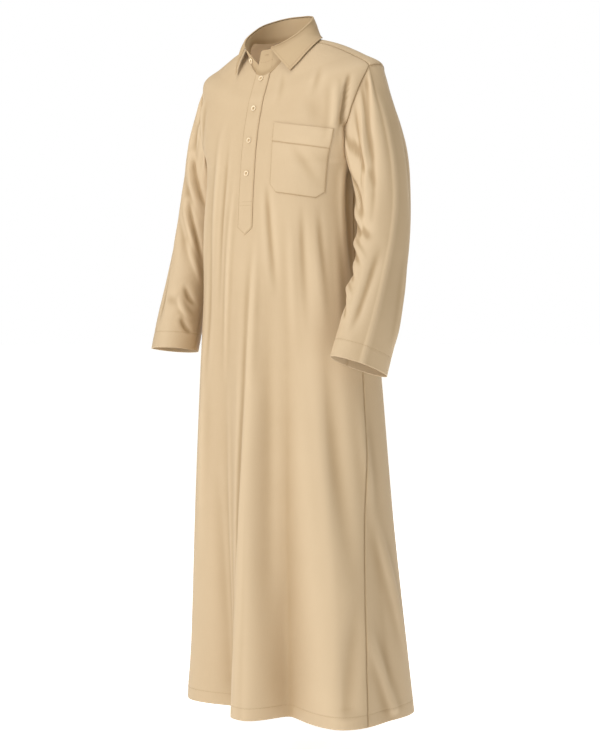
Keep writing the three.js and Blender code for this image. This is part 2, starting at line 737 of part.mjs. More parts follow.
// ---- Assembly ----
add("front", makeFront(), mainCloth);
add("back", makeBack(), mainCloth);
add("yoke", makeYoke(), mainCloth);
add("sleeve_left", makeSleeve("left"), mainCloth);
add("sleeve_right", makeSleeve("right"), mainCloth);
add("collar_stand", makeStand(), trimCloth);
add("collar_leaf", makeLeaf(), mainCloth);
add("placket_under", makeUnderPlacket(), trimCloth);
add("placket_upper", makePlacket(), mainCloth);
add("pocket", makePocketWall(pocket.band + seamGap, pocket.depth, clothWall, true), mainCloth);
add("pocket_band", makePocketWall(0, pocket.band, clothWall + pocket.bandExtra, false), trimCloth);
buttonHeights.forEach((z, i) =>
  placeButton(`button_${i + 1}`, bodyCell(0, levelAt(0, z), layGap + clothWall + seamGap)),
);
placeButton("button_collar", standCell(collarButton.angle, collarButton.rise, seamGap));

export default robe;
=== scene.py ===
"""The looks of a man's ankle-length robe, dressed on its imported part.

The robe is sewn from a light sand coloured twill: front, back, yoke, two sleeves, a collar of
stand and leaf, a half-length placket over its under-placket, a chest pocket with a band, and
five buttons. Tables of the form are in millimetres, as the garment is cut, with angles in
degrees from the front towards the wearer's left. Pieces are built in metres.
"""

import sys
import logging
import math
from collections.abc import Callable, Sequence
from dataclasses import dataclass, field, replace
from enum import Enum
from typing import Any

import bmesh
import bpy
import numpy as np
from mathutils import Matrix, Vector


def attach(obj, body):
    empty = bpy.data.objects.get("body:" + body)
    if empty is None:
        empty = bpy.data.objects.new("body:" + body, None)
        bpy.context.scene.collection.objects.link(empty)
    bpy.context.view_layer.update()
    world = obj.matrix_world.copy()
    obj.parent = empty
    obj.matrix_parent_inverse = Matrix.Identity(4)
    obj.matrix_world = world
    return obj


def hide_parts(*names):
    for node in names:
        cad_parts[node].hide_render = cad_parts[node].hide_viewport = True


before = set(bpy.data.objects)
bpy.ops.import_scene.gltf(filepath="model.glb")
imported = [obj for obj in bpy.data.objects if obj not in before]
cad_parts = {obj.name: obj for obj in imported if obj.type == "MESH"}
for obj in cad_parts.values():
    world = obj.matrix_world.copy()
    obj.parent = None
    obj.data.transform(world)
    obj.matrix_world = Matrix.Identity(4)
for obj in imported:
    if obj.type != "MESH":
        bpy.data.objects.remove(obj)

Array = np.ndarray
Surface = Callable[[Array, Array], Array]
Cells = tuple[Array, Array]  # points and outward normals
Colour = tuple[float, float, float, float]

log = logging.getLogger("robe")

MM = 0.001
HEM_LEVEL = -1415.0
ARMPIT_LEVEL = -262.0
TIP_LEVEL = -62.0  # the shoulder's tip
BACK_SEAM_LEVEL = -88.0  # the seam between back and yoke
NECK_LEVEL = 112.0
HOLLOW_REACH = 8.0  # how far to both sides of a point its fold is felt
HOLLOW_DEPTH = 1.3  # the depth over that reach at which a fold counts as full
WHITE: Colour = (1.0, 1.0, 1.0, 1.0)
MERGED = 1e-6  # metres between points that are one
SHARP_ANGLE = 50.0  # edges that turn more than this are rounded


# ---- Small numbers ----
def smooth(t: Array) -> Array:
    """Returns 0 to 1 along a soft step, for t from 0 to 1."""
    t = np.clip(t, 0.0, 1.0)
    return t * t * (3 - 2 * t)


def mix(low: Array, high: Array, share: Array) -> Array:
    """Returns the value at a share of the way from low to high."""
    return low + (high - low) * share


def unit(vectors: Array) -> Array:
    """Returns the vectors with a length of 1."""
    return vectors / np.maximum(np.linalg.norm(vectors, axis=-1, keepdims=True), 1e-12)


def turned(angle: Array, middle: float = 0.0) -> Array:
    """Returns angles in degrees as within half a turn of a middle one."""
    return np.mod(angle - middle + 180, 360) - 180 + middle


def waver(along: Array, seed: float) -> Array:
    """Makes an uneven wave, the same on each run.

    Args:
        along: where on the wave, in radians of its longest part.
        seed: which of the waves.

    Returns:
        The wave's heights, from about -1 to 1.
    """
    parts = ((1.0, 0.5, 0.0), (2.17, 0.3, 1.3), (3.71, 0.2, 4.1))
    return sum(size * np.sin(along * rate + seed * (7.3 + rate) + start) for rate, size, start in parts)


class Table:
    """Rows of named columns, each a smooth function of the first one."""

    def __init__(self, names: str, *rows: Sequence[float]) -> None:
        """Reads the rows.

        Args:
            names: the names of the columns, the key first.
            rows: one tuple for each row, with rising keys.
        """
        columns = np.array(rows, float).T
        self.keys = columns[0]
        self.values = dict(zip(names.split()[1:], columns[1:]))

    def __call__(self, name: str, at: Array) -> Array:
        """Reads a column between its rows.

        Args:
            name: the column.
            at: keys.

        Returns:
            The column's values at those keys.
        """
        keys, values = self.keys, self.values[name]
        rows = np.arange(len(keys))
        before, after = np.maximum(rows - 1, 0), np.minimum(rows + 1, len(keys) - 1)
        slopes = (values[after] - values[before]) / (keys[after] - keys[before])
        i = np.clip(np.searchsorted(keys, at, side="right") - 1, 0, len(keys) - 2)
        span = keys[i + 1] - keys[i]
        t = np.clip((at - keys[i]) / span, 0.0, 1.0)
        bend = slopes[i] * (t - 2 * t**2 + t**3) - slopes[i + 1] * (t**2 - t**3)
        return mix(values[i], values[i + 1], smooth(t)) + span * bend


# ---- Folds ----
@dataclass(frozen=True)
class SkirtFold:
    """A hanging fold: where it meets the hem, where it fades, and how far it stands out."""

    hem_angle: float
    top_angle: float
    out: float
    top: float


@dataclass(frozen=True)
class Crease:
    """A pulled fold from one place to another: a trough, or a ridge where out is above 0.

    Places are degrees round and millimetres down. bow is how far it curves to its left,
    skew makes its left flank the wider one, and fades are the shares over which it grows
    at its start and dies at its end.
    """

    start: tuple[float, float]
    end: tuple[float, float]
    width: float
    out: float
    bow: float = 0.0
    skew: float = 0.0
    fades: tuple[float, float] = (0.5, 0.5)

    def out_at(self, angle: Array, level: Array, radius: float) -> Array:
        """Measures the crease at some places.

        Args:
            angle: degrees round the form.
            level: millimetres down the form.
            radius: the form's radius, which makes degrees millimetres.

        Returns:
            How far the crease stands out there.
        """
        middle = (self.start[0] + self.end[0]) / 2
        across = np.radians(turned(angle, middle) - self.start[0]) * radius
        down = level - self.start[1]
        run_across = math.radians(self.end[0] - self.start[0]) * radius
        run_down = self.end[1] - self.start[1]
        length = math.hypot(run_across, run_down)
        along = (across * run_across + down * run_down) / length**2
        side = (across * run_down - down * run_across) / length
        side = side - self.bow * 4 * along * (1 - along)
        away = side / (self.width * (1 + self.skew * np.sign(side)))
        grown = smooth(along / self.fades[0]) * smooth((1 - along) / self.fades[1])
        return self.out * grown * np.exp(-away * away)


def creases_out(creases: Sequence[Crease], angle: Array, level: Array, radius: float) -> Array:
    """Adds creases up.

    Args:
        creases: the creases.
        angle: degrees round the form.
        level: millimetres down the form.
        radius: the form's radius.

    Returns:
        How far they stand out together.
    """
    out = np.zeros(np.broadcast(angle, level).shape)
    for crease in creases:
        out = out + crease.out_at(angle, level, radius)
    return out


# ---- Forms ----
@dataclass
class BodyForm:
    """The garment's body: one closed ring of cloth for each level."""

    fold_growth: float = 1.25
    drop_powers: tuple[float, float] = (1.3, 1.8)
    crease_radius: float = 170.0
    search_steps: int = 30
    rings: Table = field(default_factory=lambda: Table(
        "level half_width front middle back square",
        (-1415, 268, -158, 32, 222, 2),
        (-1200, 252, -154, 21, 196, 2),
        (-1000, 236, -152, 11, 174, 2.05),
        (-727, 216, -146, 4, 155, 2.1),
        (-540, 197, -142, -1, 141, 2.25),
        (-360, 185, -137, -3, 131, 2.4),
        (-262, 189, -130, 3, 131, 2.5),
        (-205, 211, -125, 7, 129, 2.5),
        (-150, 221, -118, 12, 126, 2.4),
        (-100, 229, -110, 15, 119, 2.2),
        (-62, 232, -104, 16, 110, 2),
        (-20, 190, -96, 15, 96, 1.95),
        (45, 131, -88, 5, 70, 2),
        (112, 74, -82, -18, 48, 2),
    ))
    drops: Table = field(default_factory=lambda: Table(
        "level front side back",
        (-540, 0, 0, 0),
        (-360, 0, 0, 0),
        (-262, 10, 0, 3),
        (-205, 23, 0, 5),
        (-150, 38, -2, 5),
        (-100, 56, 0, 6),
        (-62, 71, 0, 7),
        (-20, 93, 19, 18),
        (45, 138, 58, 51),
        (112, 189, 109, 99),
    ))
    skirt_folds: tuple[SkirtFold, ...] = (
        SkirtFold(-178, -172, 24, -420),
        SkirtFold(-152, -150, -34, -520),
        SkirtFold(-128, -128, 20, -380),
        SkirtFold(-106, -108, -12, -520),
        SkirtFold(-84, -86, 3, -420),
        SkirtFold(-58, -58, 3, -480),
        SkirtFold(-30, -28, -60, -400),
        SkirtFold(8, 10, 26, -360),
        SkirtFold(34, 40, -58, -340),
        SkirtFold(59, 62, 46, -420),
        SkirtFold(88, 88, -3, -420),
        SkirtFold(110, 112, 8, -420),
        SkirtFold(133, 132, -26, -560),
        SkirtFold(157, 160, 14, -440),
        SkirtFold(182, 188, 24, -420),
    )
    creases: tuple[Crease, ...] = (
        Crease((58, -360), (64, -640), 20, 6),
        Crease((-50, -240), (-62, -560), 18, 6),
        Crease((122, -110), (108, -420), 22, -9),
        Crease((-122, -110), (-108, -420), 22, -9),
        Crease((160, -220), (168, -640), 30, -8),
        Crease((-158, -260), (-164, -660), 30, -9),
        # The front, from its right to its left.
        Crease((-60, -110), (-68, -420), 11, -6, fades=(0.3, 0.6)),
        Crease((-31, -100), (-44, -560), 11, 4, fades=(0.4, 0.6)),
        Crease((-24, -140), (-35, -640), 9, -3.2, fades=(0.4, 0.6)),
        Crease((-13, -250), (-29, -760), 10, 3.8),
        Crease((-42, -330), (-52, -820), 10, -3.5),
        Crease((-52, -560), (-50, -1150), 13, 6.5),
        Crease((-60, -700), (-66, -1400), 13, -7.5, fades=(0.5, 0.2)),
        Crease((-40, -820), (-36, -1405), 14, -5, fades=(0.5, 0.1)),
        Crease((-22, -640), (-24, -1405), 14, 4, fades=(0.5, 0.1)),
        Crease((12, -400), (7.5, -760), 12, 5, fades=(0.5, 0.3)),
        # The skirt's sharp ridge, and the hollow on its right.
        Crease((9.5, -560), (-4.5, -1440), 14, 7, skew=-0.45, fades=(0.45, 0.03)),
        Crease((3, -600), (-12, -1440), 14, -7, fades=(0.5, 0.03)),
        Crease((21, -290), (31, -560), 11, -5, fades=(0.3, 0.5)),
        Crease((23.5, -440), (17.5, -1330), 24, -13, fades=(0.5, 0.3)),
        Crease((42, -345), (44, -720), 12, 3, fades=(0.35, 0.6)),
        Crease((50, -335), (53, -660), 8, -2.6, fades=(0.3, 0.7)),
        Crease((44, -600), (51, -1410), 21, 10, fades=(0.4, 0.1)),
        Crease((61, -335), (66, -660), 8, -3, fades=(0.3, 0.7)),
        Crease((60, -520), (70, -1220), 19, -13),
        Crease((71, -1120), (60, -1400), 15, -7, fades=(0.5, 0.1)),
        Crease((71, -330), (73, -700), 11, 4),
        Crease((52, -85), (60, -200), 18, -5),
        Crease((62, -10), (53, -110), 8, -2.8),
        Crease((32, 60), (27, -110), 13, -3),
        Crease((38, -196), (65, -335), 13, -1.8),
        # The folds at the left armhole, and their copies on the right.
        Crease((73, -64), (69.5, -200), 4.5, -9, fades=(0.4, 0.35)),
        Crease((66, -70), (65, -240), 8, 6.5, fades=(0.3, 0.5)),
        Crease((70, -150), (80, -262), 6.5, -10, fades=(0.4, 0.3)),
        Crease((-72, -70), (-68, -190), 6, -9, fades=(0.3, 0.35)),
        Crease((-64, -80), (-62, -250), 8, 6, fades=(0.3, 0.5)),
        Crease((-69, -170), (-79, -262), 6.5, -9, fades=(0.4, 0.3)),
        # The left side.
        Crease((77, -255), (79, -560), 11, 5, fades=(0.15, 0.6)),
        Crease((83, -262), (88, -640), 12, -8, fades=(0.1, 0.6)),
        Crease((80, -700), (86, -1060), 14, 7),
        Crease((85, -960), (107, -1330), 13, 6.5, fades=(0.4, 0.4)),
        Crease((73, -1190), (90, -1412), 12, 5, fades=(0.5, 0.1)),
        # The right side.
        Crease((-84, -262), (-80, -580), 12, 7.5, fades=(0.15, 0.6)),
        Crease((-93, -275), (-97, -660), 11, -7.5, fades=(0.15, 0.6)),
        Crease((-76, -640), (-84, -1180), 15, 9),
        Crease((-92, -780), (-88, -1400), 14, -9, fades=(0.4, 0.1)),
        # The back.
        Crease((135, -95), (128, -330), 11, 6.5, fades=(0.15, 0.6)),
        Crease((150, -92), (146, -470), 12, -6, fades=(0.15, 0.6)),
        Crease((176, -92), (173, -520), 13, 6, fades=(0.15, 0.6)),
        Crease((-146, -95), (-143, -400), 12, -6, fades=(0.15, 0.6)),
        Crease((-133, -95), (-126, -300), 11, 6.5, fades=(0.15, 0.6)),
        Crease((-172, -300), (-176, -900), 15, 7.5),
        Crease((140, -480), (142, -1120), 15, 9),
        Crease((118, -560), (122, -1200), 14, -9),
        Crease((-122, -640), (-118, -1220), 15, 9),
        Crease((-138, -760), (-142, -1405), 14, -9, fades=(0.4, 0.1)),
        Crease((172, -820), (178, -1405), 15, 9, fades=(0.4, 0.1)),
    )

    def skirt_out(self, angle: Array, level: Array) -> Array:
        """Measures the skirt's hanging folds.

        Args:
            angle: degrees round the body.
            level: the levels of the rings.

        Returns:
            How far the folds stand out there.
        """
        shares = [np.clip((f.top - level) / (f.top - HEM_LEVEL), 0, 1) for f in self.skirt_folds]
        angles = [mix(f.top_angle, f.hem_angle, s) for f, s in zip(self.skirt_folds, shares)]
        outs = [f.out * s**self.fold_growth for f, s in zip(self.skirt_folds, shares)]
        around = np.mod(angle - angles[0], 360) + angles[0]
        out = np.zeros(np.broadcast(angle, level).shape)
        for low, high, low_out, high_out in zip(angles, angles[1:], outs, outs[1:]):
            share = smooth((around - low) / (high - low))
            out = np.where((around >= low) & (around <= high), mix(low_out, high_out, share), out)
        return out

    def point(self, angle: Array, level: Array) -> Array:
        """Places points on the outside of the body.

        Args:
            angle: degrees round the body.
            level: the levels of the rings.

        Returns:
            The points, in millimetres.
        """
        across, ahead = np.sin(np.radians(angle)), np.cos(np.radians(angle))
        middle = self.rings("middle", level)
        front, back = middle - self.rings("front", level), self.rings("back", level) - middle
        reach = np.where(ahead > 0, front, back)
        power = self.rings("square", level)
        total = np.abs(across / self.rings("half_width", level)) ** power
        total = total + np.abs(ahead / reach) ** power
        radius = total ** (-1 / power) + self.skirt_out(angle, level)
        radius = radius + creases_out(self.creases, angle, level, self.crease_radius)
        towards_neck = smooth((level - TIP_LEVEL) / (NECK_LEVEL - TIP_LEVEL))
        end_drop = np.where(ahead > 0, self.drops("front", level), self.drops("back", level))
        bent = np.abs(ahead) ** mix(*self.drop_powers, towards_neck)
        below = mix(self.drops("side", level), end_drop, bent)
        return np.stack([radius * across, middle - radius * ahead, level - below], axis=-1)

    def cells(self, angle: Array, level: Array, lift: float = 0.0) -> Cells:
        """Places points a little out from the body.

        Args:
            angle: degrees round the body.
            level: the levels of the rings.
            lift: how far the points are moved out, in millimetres.

        Returns:
            The points and the outward normals.
        """
        low, high = np.maximum(level - 2, HEM_LEVEL), np.minimum(level + 2, NECK_LEVEL)
        round_ = self.point(angle + 0.5, level) - self.point(angle - 0.5, level)
        up = self.point(angle, high) - self.point(angle, low)
        normal = unit(np.cross(round_, up))
        return self.point(angle, level) + normal * lift, normal

    def level_at(self, angle: Array, z: Array) -> Array:
        """Finds the levels on which the outside has some heights.

        Args:
            angle: degrees round the body.
            z: the heights.

        Returns:
            The levels.
        """
        level = np.array(z, float)
        for _ in range(self.search_steps):
            level = np.clip(level + z - self.point(angle, level)[..., 2], HEM_LEVEL, NECK_LEVEL)
        return level

    def angle_at(self, x: Array, level: Array) -> Array:
        """Finds where the front has some X.

        Args:
            x: the X of each place.
            level: the levels of the rings.

        Returns:
            The angles, in degrees.
        """
        angle = np.zeros(np.broadcast(x, level).shape)
        for _ in range(self.search_steps):
            place = self.point(angle, level)
            radius = np.hypot(place[..., 0], place[..., 1] - self.rings("middle", level))
            angle = np.degrees(np.arcsin(x / radius))
        return angle


class Side(Enum):
    """The wearer's side, and the sign of its X."""

    LEFT = 1
    RIGHT = -1


@dataclass
class Seams:
    """Where the body's pieces meet, in degrees round the body."""

    armhole: Table = field(default_factory=lambda: Table(
        "level front back",
        (-262, 0, 0),
        (-256, 7, 8),
        (-240, 12.5, 14.5),
        (-205, 16, 19),
        (-158, 15.5, 19),
        (-120, 13, 16.5),
        (-88, 10, 12.5),
        (-62, 6.5, 7),
    ))
    side: Table = field(default_factory=lambda: Table(
        "level angle",
        (-1415, 70.4),
        (-1165, 75.4),
        (-820, 84),
        (-540, 88),
        (-262, 90),
    ))
    yoke: Table = field(default_factory=lambda: Table(
        "level angle",
        (-62, 83.5),
        (-20, 83),
        (45, 80),
        (112, 74),
    ))

    def front_edge(self, level: Array) -> Array:
        """Returns the angle, on the wearer's left, where the front ends at some levels."""
        below = np.where(level <= ARMPIT_LEVEL, self.side("angle", level), 90 - self.armhole("front", level))
        return np.where(level <= TIP_LEVEL, below, self.yoke("angle", level))

    def back_edge(self, level: Array) -> Array:
        """Returns the angle, on the wearer's left, where the back begins at some levels."""
        return np.where(level <= ARMPIT_LEVEL, self.side("angle", level), 90 + self.armhole("back", level))


@dataclass
class SleeveForm:
    """One sleeve: rings down the arm, bent at their top to the body's armhole."""

    side: Side
    body: BodyForm
    seams: Seams
    end_levels: tuple[float, float] = (-681.0, -658.0)  # left, right
    armhole_top: float = 0.12  # share of a half turn that runs over the shoulder tip
    cap_length: float = 130.0
    pressed: tuple[float, float, float, float] = (20.0, 6.0, 11.0, 150.0)  # around, out, spread, start
    crease_radius: float = 57.0
    seam_dip: float = 1.4  # how deep the armhole's seam is pressed into the body
    rings: Table = field(default_factory=lambda: Table(
        "level left right ahead across deep tilt_left tilt_right twist",
        (-681, 270, 242, -100, 45, 66, 20, 6, 18),
        (-593, 274, 249, -68, 45, 64, 20, 9, 16),
        (-510, 269, 253, -36, 45, 62, 18, 11, 12),
        (-427, 260, 254, -8, 47, 63, 11, 9, 6),
        (-345, 248, 249, 11, 49, 66, 3, 3, 0),
        (-262, 237, 237, 16, 50, 67, 0, 0, 0),
        (-179, 217, 220, 16, 51, 67, 0, 0, 0),
        (-117, 197, 205, 16, 51, 66, 0, 0, 0),
        (-62, 182, 184, 16, 50, 62, 0, 0, 0),
    ))
    creases: dict[Side, tuple[Crease, ...]] = field(default_factory=lambda: {
        Side.LEFT: (
            Crease((130, -190), (60, -330), 14, -6),
            Crease((150, -395), (50, -440), 15, -7),
            Crease((160, -450), (70, -490), 13, -5),
            Crease((200, -330), (290, -420), 15, -6),
            # Long folds that hang from the cap, beside the armhole.
            Crease((38, -64), (44, -380), 10, 3.5, fades=(0.15, 0.7)),
            Crease((52, -64), (74, -470), 8, -5, fades=(0.12, 0.7)),
            Crease((66, -64), (88, -400), 6, 5.5, fades=(0.12, 0.6)),
            Crease((80, -64), (108, -400), 7, -6.5, fades=(0.12, 0.6)),
            Crease((96, -70), (122, -330), 6, 4.5, fades=(0.12, 0.6)),
            Crease((112, -90), (140, -330), 7, -5.5, fades=(0.15, 0.6)),
            # Drags towards the elbow and down the forearm.
            Crease((160, -270), (88, -400), 8, -6.75, bow=8),
            Crease((165, -330), (78, -455), 8, 6.08, bow=8),
            Crease((168, -415), (60, -500), 8, 5.4, bow=6),
            Crease((170, -490), (84, -535), 8, -6.75, bow=5),
            Crease((165, -520), (80, -572), 8, 5.4, bow=5),
            Crease((140, -560), (84, -612), 8, -5.4, bow=4),
            Crease((40, -430), (62, -640), 11, -5.4, fades=(0.4, 0.3)),
            # The side away from the front.
            Crease((-40, -90), (-30, -420), 11, -5.4, fades=(0.2, 0.6)),
            Crease((-75, -110), (-60, -380), 10, 5.4, fades=(0.2, 0.6)),
            Crease((-150, -300), (-60, -370), 10, 5.4),
            Crease((-150, -450), (-70, -500), 10, -6.75),
            Crease((-30, -430), (-50, -650), 11, 5.4, fades=(0.4, 0.3)),
        ),
        Side.RIGHT: (
            Crease((30, -110), (120, -290), 14, -7),
            Crease((40, -250), (130, -380), 14, -7),
            Crease((50, -350), (130, -500), 14, -7),
            Crease((60, -545), (120, -575), 13, -2.5),
            # Folds that run down from the armhole towards the elbow.
            Crease((44, -85), (96, -200), 7, -6.75, fades=(0.25, 0.5)),
            Crease((98, -150), (156, -300), 7, -6.75, fades=(0.3, 0.4)),
            Crease((60, -90), (104, -250), 8, 5.4, fades=(0.25, 0.5)),
            Crease((78, -225), (150, -365), 7, -6.75, fades=(0.3, 0.4)),
            Crease((62, -210), (130, -370), 8, 6.08),
            Crease((88, -325), (160, -490), 7, -6.75, fades=(0.3, 0.4)),
            Crease((72, -310), (140, -470), 8, 6.08),
            Crease((100, -420), (165, -530), 8, 5.4),
            # Bends of the forearm.
            Crease((112, -520), (165, -570), 8, -6.75, bow=6),
            Crease((104, -545), (160, -600), 8, 6.08, bow=6),
            Crease((118, -590), (165, -628), 7, -6.08, bow=4),
            Crease((36, -420), (60, -620), 11, -5.4, fades=(0.4, 0.3)),
            Crease((-40, -90), (-32, -430), 11, -5.4, fades=(0.2, 0.6)),
            Crease((-78, -110), (-58, -390), 10, 5.4, fades=(0.2, 0.6)),
            Crease((-150, -310), (-64, -380), 10, 5.4),
            Crease((-150, -460), (-72, -510), 10, -6.75),
        ),
    })

    def seam_cells(self, around: Array) -> Cells:
        """Follows the armhole's line on the body.

        Args:
            around: degrees round the armhole, from the shoulder tip towards the front.

        Returns:
            The line's points, and the body's normals there.
        """
        turn = np.mod(around, 360)
        in_front = turn <= 180
        share = np.where(in_front, turn, 360 - turn) / 180
        rest = np.maximum(share - self.armhole_top, 0) / (1 - self.armhole_top)
        level = mix(TIP_LEVEL, ARMPIT_LEVEL, (1 - np.cos(np.pi * rest)) / 2)
        opened = np.where(in_front, self.seams.armhole("front", level), self.seams.armhole("back", level))
        away = opened * np.minimum(share / self.armhole_top, 1)
        return self.body.cells(np.where(in_front, 90 - away, 90 + away), level, -self.seam_dip)

    def ring_point(self, around: Array, level: Array) -> Array:
        """Places points on the arm's rings, before their top is bent to the armhole.

        Args:
            around: degrees round the arm, from its outer side towards the front.
            level: the levels of the rings.

        Returns:
            The points, in millimetres.
        """
        crease_at, out, spread, start = self.pressed
        cos, sin = np.cos(np.radians(around)), np.sin(np.radians(around))
        ring = {name: self.rings(name, level) for name in self.rings.values}
        side = self.side.name.lower()
        tilt, twist = np.radians(ring[f"tilt_{side}"]), np.radians(ring["twist"])
        sharp = out * np.exp(-np.abs(turned(around - crease_at)) / spread)
        proud = sharp * smooth((TIP_LEVEL - level) / start)
        proud = proud + creases_out(self.creases[self.side], np.mod(around, 360), level, self.crease_radius)
        outward, forward = (ring["across"] + proud) * cos, (ring["deep"] + proud) * sin
        return np.stack([
            ring[side] + outward * np.cos(twist) - forward * np.cos(tilt) * np.sin(twist),
            ring["ahead"] - outward * np.sin(twist) - forward * np.cos(tilt) * np.cos(twist),
            level + forward * np.sin(tilt),
        ], axis=-1)

    def point(self, around: Array, share: Array) -> Array:
        """Places points on the outside of the sleeve.

        Args:
            around: degrees round the arm, from its outer side towards the front.
            share: 0 at the armhole and 1 at the cuff's edge.

        Returns:
            The points, in millimetres.
        """
        seam = self.seam_cells(around)[0]
        top = seam[..., 2]
        end = self.end_levels[0 if self.side is Side.LEFT else 1]
        level = mix(top, end, share)
        bent = seam - self.ring_point(around, top)
        fade = 1 - smooth((top - level) / self.cap_length)
        place = self.ring_point(around, level) + bent * fade[..., None]
        place[..., 0] *= self.side.value
        return place


@dataclass
class CollarForm:
    """The collar: a stand on the neck seam and a leaf that turns down over it."""

    body: BodyForm
    top_ring: tuple[float, ...] = (63.0, -70.0, -14.0, 42.5)  # half width, front, middle, back
    heights: Table = field(default_factory=lambda: Table(
        "angle z",
        (-30, -18),
        (0, -24),
        (30, -16),
        (60, 2),
        (90, 27),
        (120, 46),
        (150, 53.5),
        (180, 55.5),
        (210, 54.5),
        (240, 47),
        (270, 33),
        (300, 5),
        (320, -18),
        (340, -25),
        (360, -24),
        (390, -16),
    ))
    splay: tuple[float, float, float] = (-44.0, 24.0, 34.0)  # angle, out, spread
    stand_ends: tuple[float, float] = (-18.0, 366.0)
    left_round: float = 6.0
    left_share: float = 0.85
    left_slant: tuple[float, float] = (11.0, 45.0)  # degrees at its top, fade
    slope: tuple[float, float, float] = (46.0, 0.2, 1.5)  # length, share, power
    lap: tuple[float, float, float] = (2.6, 12.0, 30.0)  # out, from, fade
    leaf_top: tuple[float, float] = (15.0, 321.0)
    leaf_bulge: float = 14.0
    leaf_edge: Table = field(default_factory=lambda: Table(
        "angle level lift",
        (39.8, 21, 5),
        (48, 34, 4),
        (60, 53, 4),
        (78, 72, 4),
        (100, 90, 4),
        (130, 101, 4),
        (180, 101, 5),
        (240, 103, 4),
        (275, 99, 5),
        (301, 82, 6),
        (319.5, 21, 7),
    ))
    leaf_roll: Table = field(default_factory=lambda: Table(
        "turn out up",
        (-1, -0.9, 3.7),
        (-0.5, 2.5, 3.1),
        (0, 4, -0.4),
    ))

    def outward(self, angle: Array) -> Array:
        """Returns level vectors away from the neck's middle."""
        radians = np.radians(angle)
        return np.stack([np.sin(radians), -np.cos(radians), np.zeros_like(radians)], axis=-1)

    def top_point(self, angle: Array) -> Array:
        """Places points on the stand's top line.

        Args:
            angle: degrees round the neck.

        Returns:
            The points, in millimetres.
        """
        half_width, front, middle, back = self.top_ring
        across, ahead = np.sin(np.radians(angle)), np.cos(np.radians(angle))
        reach = np.where(ahead > 0, middle - front, back - middle)
        splay_at, out, spread = self.splay
        near = turned(angle - splay_at) / spread
        radius = 1 / np.hypot(across / half_width, ahead / reach) + out * np.exp(-near * near)
        return np.stack([radius * across, middle - radius * ahead, self.heights("z", angle)], axis=-1)

    def stand_share(self, angle: Array) -> Array:
        """Shapes the stand's ends: round at the left one and sloping at the right one.

        Args:
            angle: degrees round the neck.

        Returns:
            The stand's share of its full height.
        """
        length, low, power = self.slope
        left = np.clip((angle - self.stand_ends[0]) / self.left_round, 0, 1)
        right = np.clip((self.stand_ends[1] - angle) / length, 0, 1)
        left_height = mix(self.left_share, 1, np.sqrt(1 - (1 - left) ** 2))
        return np.minimum(left_height, mix(low, 1, right**power))

    def lapped(self, angle: Array) -> Array:
        """Returns how the stand's left end moves out over its right one."""
        out, start, fade = self.lap
        return self.outward(angle) * (out * (1 - smooth((angle - start) / fade)))[..., None]

    def stand_point(self, angle: Array, rise: Array) -> Array:
        """Places points on the outside of the stand.

        Args:
            angle: degrees round the neck.
            rise: 0 at the neck seam and 1 at the stand's top.

        Returns:
            The points, in millimetres.
        """
        slant, fade = self.left_slant
        near_end = 1 - smooth((angle - self.stand_ends[0]) / fade)
        at = angle + slant * near_end * (1 - (1 - np.maximum(rise, 0)) ** 2)
        seam = self.body.point(at, np.full_like(at, NECK_LEVEL))
        share = (rise * self.stand_share(angle))[..., None]
        return mix(seam, self.top_point(at), share) + self.lapped(at)

    def stand_cells(self, angle: Array, rise: Array, lift: float) -> Cells:
        """Places points a little out from the stand.

        Args:
            angle: degrees round the neck.
            rise: 0 at the neck seam and 1 at the stand's top.
            lift: how far the points are moved out, in millimetres.

        Returns:
            The points and the outward normals.
        """
        round_ = self.stand_point(angle + 1, rise) - self.stand_point(angle - 1, rise)
        up = self.stand_point(angle, rise + 0.1) - self.stand_point(angle, rise - 0.1)
        normal = unit(np.cross(round_, up))
        return self.stand_point(angle, rise) + normal * lift, normal

    def leaf_edge_point(self, share: Array) -> Array:
        """Places points on the leaf's lower edge, over the body.

        Args:
            share: 0 at the leaf's left front and 1 at its right front.

        Returns:
            The points, in millimetres.
        """
        low = mix(self.leaf_edge.keys[0], self.leaf_edge.keys[-1], share)
        level, lift = self.leaf_edge("level", low), self.leaf_edge("lift", low)
        place, normal = self.body.cells(low, level)
        return place + normal * lift[..., None]

    def leaf_point(self, share: Array, down: Array) -> Array:
        """Places points on the outside of the leaf.

        Args:
            share: 0 at the leaf's left front and 1 at its right front.
            down: -1 to 0 round its roll, and 1 at its lower edge.

        Returns:
            The points, in millimetres.
        """
        top = mix(*self.leaf_top, share)
        outward, hang, turn = self.outward(top), np.clip(down, 0, 1)[..., None], np.minimum(down, 0)
        fold = self.top_point(top) + self.lapped(top) + outward * self.leaf_roll("out", turn)[..., None]
        fold[..., 2] += self.leaf_roll("up", turn)
        return mix(fold, self.leaf_edge_point(share), hang) + outward * (self.leaf_bulge * hang * (1 - hang))


